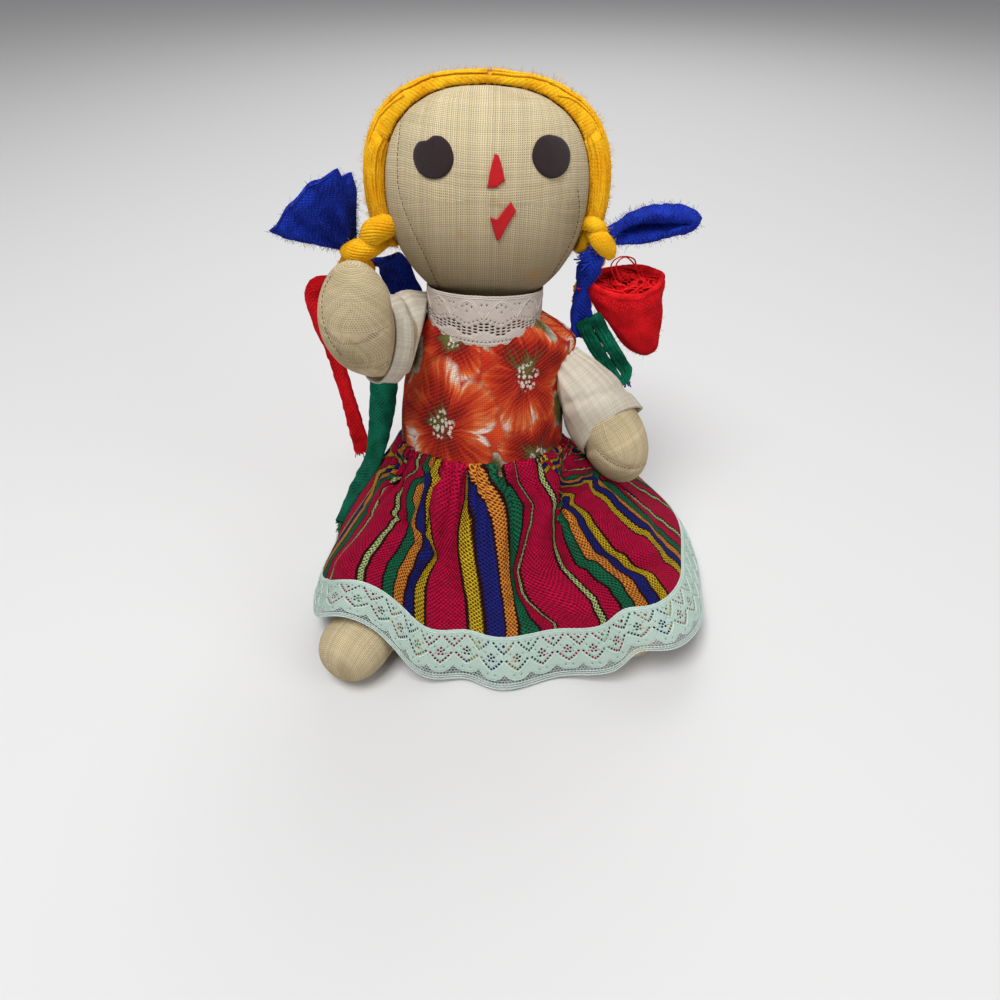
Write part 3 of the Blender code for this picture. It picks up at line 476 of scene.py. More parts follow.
def ribbon_look(name, light, dark, pitch=RIBBON_PITCH):
    """Loosely woven wool tape: small slanting knots in a brick order under a fuzz, with painted shade in the hollows
    between the knots.
    """
    look = Look(name)
    wander = look.noise(520.0, 3.0)
    u = look.math("MULTIPLY_ADD", wander, pitch * 1.4, look.u)
    v = look.math("MULTIPLY_ADD", wander, pitch * -1.2, look.v)
    one = look.wave(look.add(u, look.times(v, 0.6)), pitch)
    two = look.wave(look.math("SUBTRACT", look.times(v, 1.0), look.times(u, 0.5)), pitch * 0.9)
    knot = look.times(one, two)
    fibre = look.noise(1700.0, 4.0, roughness=0.7)
    patch = look.noise(120.0, 2.0)
    # Painted shade: the raised knots take the lit colour and the hollows between them the shaded one, stirred by
    # random patches.
    mixed = look.add(look.times(knot, 0.7), look.math("SUBTRACT", patch, 0.25))
    colour = look.mix(look.step(mixed, 0.0, 0.75), dark, light)
    bright = tuple(min(1.7 * c, 1.0) for c in light)
    colour = look.mix(look.times(look.step(fibre, 0.50, 0.75), 0.45), colour, bright)
    height = look.add(look.times(knot, 0.7), fibre)
    return look.finish(colour, 0.95, height, 0.0007, 1.0)


def felt_look(name, colour, pale):
    look = Look(name)
    fibre = look.noise(2400.0, 4.0, roughness=0.7)
    patch = look.noise(300.0, 2.0)
    mixed = look.mix(look.times(look.step(fibre, 0.52, 0.85), 0.35), colour, pale)
    mixed = look.mix(look.times(look.step(patch, 0.4, 0.8), 0.2), mixed, tuple(0.5 * c for c in colour))
    return look.finish(mixed, 0.96, fibre, 0.0003, 0.9, 0.15)


def lace_look(name, colour, shade, gauze=0.0):
    """Fine cotton lace thread, a little darker in its hollows and in the tiny gaps of a gauze."""
    look = Look(name)
    threads = look.times(look.wave(look.add(look.u, look.v), 0.0005), look.wave(look.v, 0.00045))
    patch = look.noise(150.0, 2.0)
    mesh = look.times(look.wave(look.add(look.u, look.times(look.v, 0.5)), 0.00095),
                      look.wave(look.math("SUBTRACT", look.v, look.times(look.u, 0.5)), 0.00095))
    mixed = look.mix(look.times(look.math("SUBTRACT", 1.0, threads), 0.30), colour, shade)
    mixed = look.mix(look.times(patch, 0.3), mixed, shade)
    mixed = look.mix(look.times(look.step(mesh, 0.45, 0.85), gauze), mixed, tuple(0.45 * c for c in shade))
    return look.finish(mixed, 0.8, threads, 0.0002, 0.7)


def thread_look(name, colour):
    look = Look(name)
    twist = look.wave(look.add(look.v, look.times(look.u, 0.0006)), 0.0006)
    mixed = look.mix(look.times(twist, 0.4), colour, tuple(0.5 * c for c in colour))
    return look.finish(mixed, 0.85, twist, 0.0001, 0.6)


LOOKS = {}


def make_looks():
    # The face's muslin has painted shade under the chin, darkening from 0.214 m down to 0.150 m.
    LOOKS["face"] = woven_look("muslin_face", (0.64, 0.53, 0.33), (0.46, 0.37, 0.22), MUSLIN_PITCH, 0.92,
                               (0.150, 0.214, (0.20, 0.145, 0.082)))
    # Painted shade: the limbs' muslin is a darker copy of the face's, darkened for the shade on the hands and feet.
    LOOKS["limb"] = woven_look("muslin_limb_shaded", (0.57, 0.46, 0.28), (0.41, 0.32, 0.18), MUSLIN_PITCH, 0.65)
    LOOKS["cotton"] = woven_look("white_cotton", (0.64, 0.58, 0.47), (0.50, 0.43, 0.32), COTTON_PITCH, 0.40)
    LOOKS["yarn"] = yarn_look("golden_yarn", (1.0, 0.56, 0.018), (0.88, 0.39, 0.005))
    LOOKS["gold_fuzz"] = yarn_look("gold_fuzz", (1.0, 0.62, 0.045), (1.0, 0.50, 0.020))
    LOOKS["blue"] = ribbon_look("blue_ribbon", (0.018, 0.055, 0.60), (0.004, 0.008, 0.13))
    LOOKS["red"] = ribbon_look("red_ribbon", (0.96, 0.012, 0.020), (0.42, 0.002, 0.006))
    LOOKS["green"] = ribbon_look("green_ribbon", (0.006, 0.18, 0.10), (0.001, 0.032, 0.018))
    LOOKS["blue_yarn"] = yarn_look("blue_yarn", (0.020, 0.055, 0.55), (0.004, 0.010, 0.14))
    LOOKS["red_yarn"] = yarn_look("red_yarn", (0.96, 0.016, 0.022), (0.50, 0.004, 0.006))
    LOOKS["green_yarn"] = yarn_look("green_yarn", (0.006, 0.20, 0.11), (0.001, 0.055, 0.028))
    LOOKS["felt_brown"] = felt_look("brown_felt", (0.030, 0.018, 0.020), (0.12, 0.085, 0.085))
    LOOKS["felt_red"] = felt_look("red_felt", (0.50, 0.012, 0.016), (0.70, 0.08, 0.07))
    LOOKS["stitch"] = thread_look("dark_thread", (0.10, 0.065, 0.035))
    LOOKS["ivory"] = lace_look("ivory_lace", (0.64, 0.56, 0.50), (0.42, 0.35, 0.31), 0.55)
    LOOKS["ivory_cord"] = lace_look("ivory_cord", (0.84, 0.77, 0.69), (0.60, 0.52, 0.44))
    LOOKS["mint"] = lace_look("mint_lace", (0.56, 0.70, 0.62), (0.34, 0.46, 0.40), 0.45)
    LOOKS["mint_cord"] = lace_look("mint_cord", (0.76, 0.88, 0.82), (0.50, 0.64, 0.58))


def make_camera():
    data = bpy.data.cameras.new("camera")
    data.lens = LENS
    data.sensor_width = SENSOR
    camera = bpy.data.objects.new("camera", data)
    camera.location = CAMERA_PLACE
    camera.rotation_euler = (CAMERA_TILT, 0, 0)
    bpy.context.scene.collection.objects.link(camera)
    bpy.context.scene.camera = camera


# Place, size and power of each lamp
LAMPS = {"key": ((-0.30, -0.45, 1.5), 0.7, 21.0), "fill": ((1.1, -0.6, 0.8), 0.8, 4.5),
         "back": ((0.2, 1.3, 1.3), 0.9, 10.0)}
LAMP_AIM = Vector((0.01, 0.02, 0.1))
FLOOR_HALF = 4
FLOOR_DROP = 0.0004
WORLD_STRENGTH = 0.27


def make_stage():
    """A pale floor, and soft light from above the front and from both sides."""
    corners = [(x * FLOOR_HALF, y * FLOOR_HALF, 0) for x, y in ((-1, -1), (1, -1), (1, 1), (-1, 1))]
    floor = add_object("floor", corners, [(0, 1, 2, 3)])
    floor.location.z = -FLOOR_DROP
    paint = bpy.data.materials.new("floor")
    paint.use_nodes = True
    shader = paint.node_tree.nodes["Principled BSDF"]
    shader.inputs["Base Color"].default_value = (0.66, 0.655, 0.65, 1)
    shader.inputs["Roughness"].default_value = 0.9
    floor.data.materials.append(paint)
    for name, (place, size, power) in LAMPS.items():
        data = bpy.data.lights.new(name, "AREA")
        data.size = size
        data.energy = power
        lamp = bpy.data.objects.new(name, data)
        lamp.location = place
        lamp.rotation_euler = (LAMP_AIM - Vector(place)).to_track_quat("-Z", "Y").to_euler()
        bpy.context.scene.collection.objects.link(lamp)
    world = bpy.data.worlds.new("studio")
    bpy.context.scene.world = world
    world.use_nodes = True
    nodes, links = world.node_tree.nodes, world.node_tree.links
    light = nodes["Background"]
    light.inputs["Color"].default_value = (0.95, 0.96, 1.0, 1)
    light.inputs["Strength"].default_value = WORLD_STRENGTH
    pale = nodes.new("ShaderNodeBackground")
    pale.inputs["Color"].default_value = (0.80, 0.80, 0.81, 1)
    rays = nodes.new("ShaderNodeLightPath")
    choice = nodes.new("ShaderNodeMixShader")
    links.new(rays.outputs["Is Camera Ray"], choice.inputs[0])
    links.new(light.outputs["Background"], choice.inputs[1])
    links.new(pale.outputs["Background"], choice.inputs[2])
    links.new(choice.outputs["Shader"], nodes["World Output"].inputs["Surface"])
    bpy.context.scene.view_settings.view_transform = "Standard"


def stuffed_form(name, stuffing, voxel, rounds, nodes, body, look, route, facing):
    """A sewn cover over its stuffing, as one smooth cloth skin with a map along its threads."""
    obj = smooth_form(name, stuffing, voxel, rounds, COVER + 0.0002)
    unroll(obj, route, facing)
    dress(obj, LOOKS[look], body, nodes)
    return obj


# Pixels along the seams beside the cheeks, and round the felt shapes further down
RIGHT_CHEEK_SEAM = [(402, 112), (398, 150), (398, 182), (403, 205), (412, 228), (425, 256), (440, 290)]
LEFT_CHEEK_SEAM = [(578, 190), (579, 215), (572, 240), (560, 262), (545, 287)]


def make_head():
    """Muslin of the head, with its two sewn seams beside the cheeks."""
    route = [on_spine(HEAD_BASE), on_spine(HEAD_TOP)]
    nodes = ("head_front_panel", "head_back_panel", "head_stuffing")
    head = stuffed_form("head_cover", "head_stuffing", 0.0016, 14, nodes, "root", "face", route, FORWARD)
    tree = tree_of(head)
    stitches = Bundle()
    for pixels in (RIGHT_CHEEK_SEAM, LEFT_CHEEK_SEAM):
        line = line_on(tree, pixels, 60)
        press_seam(head, line, 0.0012, 0.0006)
    tree = tree_of(head)
    for pixels in (RIGHT_CHEEK_SEAM, LEFT_CHEEK_SEAM):
        stitch_line(stitches, tree, line_on(tree, pixels, 60))
    stitches.piece("head_seam_stitches", LOOKS["stitch"], "root")
    return head


RIGHT_EYE = [(433, 136.5), (441, 136.5), (449, 143), (453.5, 155), (452, 167), (445, 176), (436, 179),
             (426, 177),
             (418, 170), (414, 159), (415, 149), (420, 142), (427, 141)]
LEFT_EYE = [(549, 135), (560, 138), (567, 146), (569.5, 156), (567, 168), (560, 176), (550, 178.5),
            (541, 174),
            (534, 165), (532, 155), (535, 144), (541, 137)]
NOSE = [(494.5, 154), (498, 155), (501, 163), (505, 181), (500.5, 184), (497, 187.5), (487, 188), (490, 171)]
MOUTH = [(511, 201.5), (516, 211), (508, 224), (499, 240.5), (496, 239), (492, 226), (490, 217), (497, 219.5),
         (504, 210)]


def make_felt(name, pixels, round_it, tree, look):
    """A felt shape cut out by scissors and stuck on the face, from where its outline shows."""
    outline = [(x, y, 0) for x, y in pixels]
    rim = smooth_route(outline + outline[:1], 48)[:-1, :2] if round_it else None
    if rim is None:
        closed = np.array(pixels + pixels[:1], float)
        rim = np.concatenate([np.linspace(a, b, 7, endpoint=False) for a, b in zip(closed, closed[1:])])
    middle = rim.mean(0)
    shares = (0.0, 0.25, 0.5, 0.72, 0.88, 0.97, 1.0, 1.0)
    lifts = (1.0, 1.0, 1.0, 1.0, 0.97, 0.80, 0.45, 0.02)
    points, flat = [], []
    for share, lift in zip(shares, lifts):
        row = []
        for x, y in middle + (rim - middle) * max(share, 0.01):
            hit = tree.ray_cast(CAMERA_PLACE, view_way(x, y).normalized())
            fray = noise.noise(Vector((x, y, 3.1)) * 0.9) * 0.00008
            row.append(tuple(hit[0] + hit[1] * (0.0011 * lift + fray)))
        points.append(row)
        flat.append([(p[0], p[2]) for p in row + row[:1]])
    faces, corners = grid_faces(len(points), len(points[0]), True, flat)
    count = len(points[0])
    verts = [p for row in points for p in row] + [tuple(np.mean(points[0], axis=0))]
    faces += [(len(verts) - 1, (k + 1) % count, k) for k in range(count)]
    corners += [flat[0][0]] * (3 * count)
    add_piece(name + "_piece", verts, faces, LOOKS[look], "root", (name,), corners)


def make_face(head):
    tree = tree_of(head)
    make_felt("felt_eye_right", RIGHT_EYE, True, tree, "felt_brown")
    make_felt("felt_eye_left", LEFT_EYE, True, tree, "felt_brown")
    make_felt("felt_nose", NOSE, False, tree, "felt_red")
    make_felt("felt_mouth", MOUTH, False, tree, "felt_red")


# Hair: yarn laid from the parting round the head to a knot on each side
HAIR_CENTRE = on_spine(HEAD_BASE + 0.025)
HAIR_STRANDS = 86
RIM_STRANDS = 28


def parting_way(turn):
    """Direction from the middle of the hair to the parting, turned backwards from upright."""
    return (SPINE * cos(turn) - FORWARD * sin(turn)).normalized()


def knot_centre(side):
    return on_spine(HEAD_BASE + KNOT_UP[side], SIGN[side] * KNOT_OUT[side])


def surface_along(tree, way, lift):
    hit = tree.ray_cast(HAIR_CENTRE + way * 0.2, -way)
    return None if hit[0] is None else hit[0] + way * lift


def make_hair(head):
    base = smooth_form("hair_under", "hair_cap", 0.0014, 8, -0.0004)
    unroll(base, [on_spine(HEAD_BASE), on_spine(HEAD_TOP)], FORWARD)
    dress(base, LOOKS["yarn"], "root", ("hair_cap",))
    tree = tree_of(base)
    face = tree_of(head)
    strands = Bundle()
    for side in SIGN:
        end = (knot_centre(side) - HAIR_CENTRE).normalized()
        for layer in range(2):
            for index in range(HAIR_STRANDS):
                turn = radians(-3 + 95 * (index + 0.5 * layer) / HAIR_STRANDS) + RANDOM.normal(0, 0.004)
                start = (parting_way(turn) + ACROSS * (SIGN[side] * 0.012)).normalized()
                angle = start.angle(end)
                sway = RANDOM.normal(0, 0.006)
                path = []
                for t in np.linspace(0, 0.97, 24):
                    way = (start * sin((1 - t) * angle) + end * sin(t * angle)) / sin(angle)
                    way = (way + SPINE * (sway * sin(3 * pi * t))).normalized()
                    lift = 0.0004 + 0.0005 * layer + 0.0003 * noise.noise(Vector((index * 0.7, t * 4, layer)))
                    spot = surface_along(tree, way, lift)
                    if spot is not None:
                        path.append(tuple(spot))
                if len(path) > 6:
                    strands.tube(path, YARN_RADIUS * RANDOM.uniform(0.8, 1.15), 5, RANDOM.uniform(0, 0.01))
        for index in range(RIM_STRANDS):
            share = (index + 0.5) / RIM_STRANDS
            path = []
            start = (parting_way(radians(-4)) + ACROSS * (SIGN[side] * 0.012)).normalized()
            angle = start.angle(end)
            for t in np.linspace(0, 0.98, 26):
                way = ((start * sin((1 - t) * angle) + end * sin(t * angle)) / sin(angle)).normalized()
                outer = surface_along(tree, way, 0.0004)
                inner = surface_along(face, way, 0.0006)
                if outer is not None and inner is not None:
                    stray = share + 0.10 * noise.noise(Vector((index * 2.3, t * 4, 7)))
                    front = 0.0019 * sin(pi * share) + 0.0009 * noise.noise(Vector((index * 1.7, t * 5, 1)))
                    path.append(tuple(inner.lerp(outer, stray) + FORWARD * front))
            if len(path) > 6:
                strands.tube(path, YARN_RADIUS * RANDOM.uniform(0.95, 1.3), 5, RANDOM.uniform(0, 0.01))
    locks = strands.piece("hair_strands", LOOKS["yarn"], "root")
    make_fuzz("hair_fuzz", [base], "gold_fuzz", "root")
    make_fuzz("hair_down", [locks], "gold_fuzz", "root")
    stitches = Bundle()
    for index in range(13):
        turn = radians(-2 + 78 * index / 13)
        path = []
        for t in np.linspace(-1, 1, 5):
            way = (parting_way(turn + 0.02 * t) + ACROSS * (0.035 * t)).normalized()
            spot = surface_along(tree, way, 0.0012 - 0.0004 * abs(t))
            if spot is not None:
                path.append(tuple(spot))
        if len(path) == 5:
            stitches.tube(path, THREAD_RADIUS * 1.6, 5)
    stitches.piece("parting_stitches", LOOKS["stitch"], "root", ("parting_thread",))


# Number and greatest length of the loose fibres of each fuzz
FUZZ = {
    "hair_fuzz": (9000, 0.0042), "hair_down": (9800, 0.0026), "right_knot_fuzz": (900, 0.0026),
    "left_knot_fuzz": (900, 0.0026), "right_bow_fuzz": (2600, 0.0026), "left_bow_fuzz": (1800, 0.0026),
    "left_green_fuzz": (700, 0.0022), "left_rose_fuzz": (1500, 0.0026),
}


def make_fuzz(name, objects, look, body):
    """Loose fibres that stand off the surfaces of some pieces."""
    count, length = FUZZ[name]
    fuzz = Bundle()
    for obj in objects:
        spots = vertices_of(obj)
        normals = normals_of(obj)
        for index in RANDOM.integers(0, len(spots), count // len(objects)):
            spot, normal = spots[index], normals[index]
            way = unit(normal * 0.8 + RANDOM.normal(0, 0.7, 3))
            bend = RANDOM.normal(0, 0.45, 3)
            reach = length * RANDOM.uniform(0.4, 1.0)
            path = [spot + (way * t + bend * t * t * 0.5) * reach for t in (-0.1, 0.3, 0.65, 1.0)]
            fuzz.tube(path, FUZZ_RADIUS, 3)
    return fuzz.piece(name, LOOKS[look], body)


def twisted(bundle, points, radii, strands, turns, strand_radius, count=22, flat=1.0):
    """A rope of yarn strands that wind round a route, swelling by a row of radii."""
    path = smooth_route(points, count)
    sizes = np.interp(np.linspace(0, 1, count), np.linspace(0, 1, len(radii)), radii)
    _, across, deep = frames_along(path)
    shares = np.linspace(0, 1, count)
    for index in range(strands):
        angle = 2 * pi * (index / strands + turns * shares)
        spokes = across * np.cos(angle)[:, None] + deep * (flat * np.sin(angle))[:, None]
        bundle.tube(path + spokes * sizes[:, None], strand_radius, 6, index * 0.0007)


# Rows of places on the photograph: pixel across, pixel down, and the depth along Y
RIGHT_LOBES = (
    ([(397, 224, 0.0425), (388, 226, 0.0385), (375, 231, 0.0375), (366, 241, 0.0405)],
     (0.0022, 0.0046, 0.0050, 0.0026)),
    ([(385, 241, 0.0430), (372, 246, 0.0385), (357, 251, 0.0380), (345, 251, 0.0420)],
     (0.0022, 0.0042, 0.0046, 0.0024)),
)
LEFT_LOBES = (
    ([(582, 224, 0.0445), (591, 224, 0.0410), (599, 228, 0.0415), (603, 234, 0.0450)],
     (0.0018, 0.0026, 0.0026, 0.0016)),
    ([(590, 233, 0.0440), (598, 238, 0.0400), (606, 247, 0.0410), (610, 255, 0.0445)],
     (0.0020, 0.0038, 0.0038, 0.0020)),
)


def make_knot(side, lobes):
    knot = Bundle()
    for places, radii in lobes:
        spots = [seen(*place) for place in places]
        twisted(knot, spots, radii, 22, 0.45, 0.00075, 20)
        twisted(knot, spots, [r * 0.6 for r in radii], 9, 0.5, 0.0011, 14)
    if side == "right":
        for index in range(7):
            start = seen(343 + index * 0.6, 252, 0.042)
            end = seen(337 + index * 0.9, 266 + (index % 3), 0.0425)
            knot.tube(smooth_route([start, start.lerp(end, 0.5) + Vector((0.0006, 0, 0)), end], 7), 0.0005, 5)
    made = knot.piece(side + "_knot_yarn", LOOKS["yarn"], "root", (side + "_hair_knot",))
    make_fuzz(side + "_knot_fuzz", [made], "gold_fuzz", "root")


# Skirt: the same outline as its solid, in a finer grid
WAIST_HEIGHT = 0.0795
WAIST_HALF_WIDTH = 0.0420
WAIST_DEPTH = {True: 0.0385, False: 0.0285}
HEM_REACH = 0.100
HEM_LIFT = 0.0012
FOOT_CENTRES = {"right": Vector((-0.059065, -0.066622, 0.0163)), "left": Vector((0.076296, -0.052669, 0.0163))}
FOOT_RADIUS = 0.0168
SKIRT_FOLDS = 10
FOLD_DEPTH = 0.0028
SKIRT_BULGE = 0.0170
SKIRT_COLUMNS = 420
SKIRT_ROWS = 84
SKIRT_END = 0.93
LACE_START = 0.735
GATHERS = 31
GATHER_DEPTH = 0.0017
CLOTH_ROUND = 0.690
CLOTH_LENGTH = 0.115
CLOTH_PER_PIXEL = 0.00055
SKIRT_THICKNESS = 0.0011
HEM_SHARES = (
    ("seat", 0.14, -0.770, 0.0, 0.20), ("seat", 0.41, -0.750, 0.0, 0.30), ("seat", 0.62, -0.730, 0.07, 0.40),
    ("left", 0.10, -1.300, 0.25, 0.45), ("left", 1.10, -0.900, 0.25, 0.45), ("seat", 1.17, -0.410, 0.12, 0.50),
    ("seat", 1.20, -0.050, 0.03, 0.55), ("seat", 1.12, 0.350, 0.0, 0.85), ("seat", 0.89, 0.680, 0.0, 0.80),
    ("seat", 0.49, 0.840, 0.0, 0.50), ("seat", 0.04, 0.880, 0.0, 0.45), ("seat", -0.38, 0.800, 0.0, 0.45),
    ("seat", -0.66, 0.560, 0.0, 0.50), ("seat", -0.78, 0.200, 0.0, 0.55), ("seat", -0.80, -0.150, 0.04, 0.55),
    ("right", -1.25, 1.450, -0.15, 0.50), ("right", -1.10, 0.640, 0.50, 0.45), ("right", 0.05, 0.200, 1.30, 0.35),
    ("right", 1.08, -0.330, 0.45, 0.30), ("seat", -0.23, -0.730, 0.04, 0.25), ("seat", -0.04, -0.765, 0.0, 0.20),
)
# Ridges and valleys of the skirt's front: rise, half width in pixels, and the pixels that they run through
SKIRT_RELIEF = (
    (0.0050, 13, [(535, 462), (547, 485), (545, 508), (536, 530), (534, 556), (540, 580), (560, 596),
                  (585, 606)]),
    (-0.0045, 9, [(497, 470), (510, 492), (514, 520), (511, 548), (508, 575), (514, 598)]),
    (-0.0050, 8, [(563, 447), (566, 470), (562, 495), (556, 520), (555, 545), (562, 566)]),
    (0.0036, 11, [(432, 470), (440, 492), (436, 515), (420, 530), (398, 540), (368, 549), (345, 566)]),
    (-0.0032, 7, [(402, 460), (399, 480), (401, 505), (407, 522)]),
    (-0.0030, 8, [(436, 556), (424, 572), (413, 590)]),
    (0.0034, 10, [(424, 520), (434, 546), (428, 556)]),
    (-0.0030, 8, [(467, 478), (463, 505), (459, 530), (457, 560), (461, 590)]),
    (0.0030, 10, [(484, 466), (494, 490), (500, 520), (501, 550), (506, 590)]),
    (0.0036, 13, [(586, 462), (606, 486), (628, 508), (640, 530), (644, 552)]),
    (-0.0026, 9, [(575, 500), (590, 527), (606, 548), (632, 566), (655, 568)]),
    (0.0030, 10, [(600, 575), (625, 585), (650, 577)]),
)
# Edges of the stripes: distance across the cloth in millimetres, and the pixels that each runs through
STRIPE_EDGES = (
    (22, [(376, 440), (376, 485), (369, 506), (366, 520), (358, 530), (347, 536), (343, 550), (337, 578)]),
    (27, [(390, 449), (387, 468), (381, 494), (379, 515), (374, 531), (363, 536), (354, 545), (343, 578)]),
    (37, [(409, 449), (399, 462), (397, 494), (398, 519), (394, 530), (384, 536), (370, 557), (360, 580)]),
    (45, [(401, 462), (401, 490), (404, 506), (406, 520), (412, 534), (407, 541), (394, 551), (377, 585)]),
    (53, [(401, 463), (401, 491), (405, 506), (409, 521), (414, 536), (420, 548), (408, 564), (397, 591)]),
    (61, [(402, 458), (403, 481), (410, 500), (418, 529), (430, 540), (434, 552), (423, 568), (415, 585),
          (413, 598)]),
    (69, [(422, 453), (417, 468), (416, 481), (420, 496), (428, 519), (432, 540), (437, 558), (429, 576),
          (425, 589),
          (424, 607)]),
    (91, [(467, 462), (467, 481), (465, 500), (460, 513), (456, 532), (457, 550), (461, 571), (465, 597),
          (467, 625)]),
    (99, [(467.5, 462), (468, 490), (469, 506), (472, 519), (472, 532), (473, 545), (475, 558), (480, 583),
          (485, 625)]),
    (107, [(467.9, 465), (472, 481), (479, 494), (487, 506), (492, 519), (494, 532), (496, 551), (499, 583),
           (505, 625)]),
    (115, [(481, 462), (490, 481), (499, 494), (504, 506), (506, 520), (507, 540), (509, 558), (511, 583),
           (515, 609),
           (518, 625)]),
    (123, [(503, 462), (508, 481), (514, 490), (525, 505), (524, 524), (520, 550), (514, 570), (517, 590),
           (529, 617),
           (540, 628)]),
    (133, [(512, 462), (517, 481), (533, 505), (531, 524), (523, 550), (517, 570), (520, 590), (526, 601),
           (539, 613),
           (553, 623)]),
    (138, [(514, 462), (519, 481), (534.5, 505), (532.5, 524), (524.5, 550), (519.5, 570), (523.5, 590),
           (529, 601),
           (542, 613), (556, 623)]),
    (160, [(532, 450), (543, 457), (551, 470), (556, 484), (557, 497), (551, 524), (550, 537), (551, 550),
           (554, 561),
           (559, 571), (566, 577), (583, 591), (603, 604)]),
    (165, [(545, 450), (554, 457), (559, 470), (561, 484), (559.5, 497), (553, 524), (554, 537), (559, 550),
           (564, 561),
           (570, 571), (591, 577), (606, 591), (614, 603)]),
    (175, [(563, 447), (564, 457), (562.5, 470), (562.5, 484), (560.5, 497), (558, 510), (559, 524),
           (566, 537),
           (575, 550), (586, 564), (592, 571), (618, 575), (632, 588)]),
    (183, [(567, 443), (567, 457), (564, 477), (566, 490), (571, 504), (579, 517), (591, 530), (602, 544),
           (610, 557),
           (615, 564), (620, 572), (642, 580)]),
    (191, [(571, 450), (568, 463), (571, 477), (579, 490), (586, 504), (594, 517), (610, 530), (619, 544),
           (625, 557),
           (630, 564), (647, 571), (654, 575)]),
    (199, [(571, 438), (574, 450), (576, 463), (580, 477), (594, 488), (606, 497), (620, 510), (633, 524),
           (637, 537),
           (639, 548), (647, 559), (661, 565)]),
    (207, [(576, 438), (579, 450), (583, 461), (592, 470), (614, 484), (630, 497), (642, 510), (649, 524),
           (653, 537),
           (659, 546), (671, 553), (677, 560)]),
)


def smooth_between(before, start, end, after, share):
    square = share * share
    cube = square * share
    return (start * 2 + (end - before) * share + (before * 2 - start * 5 + end * 4 - after) * square
            + (start * 3 - before - end * 3 + after) * cube) * 0.5


def hem_outline(columns):
    """Hem places, waist places, directions outwards, bulges and fold heights for evenly spaced columns."""
    places = []
    for base, x, y, z, bulge in HEM_SHARES:
        way = Vector((x, y, z))
        if base == "seat":
            spot = way * HEM_REACH + Vector((0, 0, HEM_LIFT))
        else:
            spot = FOOT_CENTRES[base] + way * FOOT_RADIUS
        places.append(np.array((*spot, bulge * SKIRT_BULGE)))
    middle = on_spine(WAIST_HEIGHT / 2)
    hems, waists, outs, folds = [], [], [], []
    for column in range(columns):
        place = column / columns * len(places)
        index = int(place)
        near = [places[(index + step) % len(places)] for step in (-1, 0, 1, 2)]
        hem = smooth_between(*near, place - index)
        angle = atan2(hem[0] - middle.x, middle.y - hem[1])
        waist = on_spine(WAIST_HEIGHT, sin(angle) * WAIST_HALF_WIDTH, cos(angle) * WAIST_DEPTH[cos(angle) > 0])
        hems.append(hem)
        waists.append(tuple(waist))
        outs.append((sin(angle), -cos(angle), 0))
        folds.append(FOLD_DEPTH * cos(2 * pi * SKIRT_FOLDS * column / columns))
    return np.array(hems), np.array(waists), np.array(outs), np.array(folds)


def pixels_of(points):
    """Pixels at which the camera sees world points."""
    turn = np.array(CAMERA_TURN)
    local = (points - np.array(CAMERA_PLACE)) @ turn
    scale = LENS / SENSOR * PICTURE
    return np.stack([PICTURE / 2 + local[..., 0] / -local[..., 2] * scale,
                     PICTURE / 2 - local[..., 1] / -local[..., 2] * scale], axis=-1)


def grid_normals(points):
    """Outward directions of a closed grid whose columns run from the front towards the doll's left."""
    round_way = np.roll(points, -1, axis=1) - np.roll(points, 1, axis=1)
    down = np.gradient(points, axis=0)
    return unit(np.cross(down, round_way))


def distance_to(line, pixels):
    """Distance of pixels from a row of pixels."""
    best = np.full(pixels.shape[:-1], np.inf)
    line = np.array(line, float)
    for start, end in zip(line, line[1:]):
        way = end - start
        share = np.clip(((pixels - start) @ way) / (way @ way), 0, 1)
        best = np.minimum(best, np.linalg.norm(pixels - start - share[..., None] * way, axis=-1))
    return best


def skirt_surface(shares, columns):
    """Rows of points down the skirt at shares of its length, with its folds, gathers and relief."""
    hems, waists, outs, folds = hem_outline(columns)
    shares = np.asarray(shares, float)[:, None, None]
    swell = hems[None, :, 3:] * shares * shares * (1 - shares) * 27 / 4
    points = waists * (1 - shares) + hems[None, :, :3] * shares + outs * (swell + folds[None, :, None] * shares)
    turns = 2 * pi * np.arange(columns) / columns
    uneven = 1.7 * np.sin(turns * 3 + 1.0) + 1.2 * np.sin(turns * 7 + 0.4)
    fade = np.clip(1 - np.maximum(shares, 0) / 0.62, 0, 1) ** 1.5
    pleats = np.sin(turns * GATHERS + uneven)[None, :, None]
    depths = (0.75 + 0.25 * np.sin(turns * 11))[None, :, None]
    points = points + outs * (GATHER_DEPTH * pleats * fade * depths)
    normals = grid_normals(points)
    pixels = pixels_of(points)
    facing = np.einsum("ijk,ijk->ij", normals, unit(np.array(CAMERA_PLACE) - points))
    shown = np.clip((facing - 0.12) / 0.3, 0, 1)
    low = np.clip((shares[..., 0] + 0.02) / 0.10, 0, 1) * np.clip((1.02 - shares[..., 0]) / 0.22, 0.25, 1)
    relief = np.zeros(points.shape[:2])
    for rise, width, line in SKIRT_RELIEF:
        route = smooth_route([(x, y, 0) for x, y in line], 24)[:, :2]
        relief += rise * np.exp(-(distance_to(route, pixels) / width) ** 2)
    return points + normals * (relief * shown * low)[..., None]


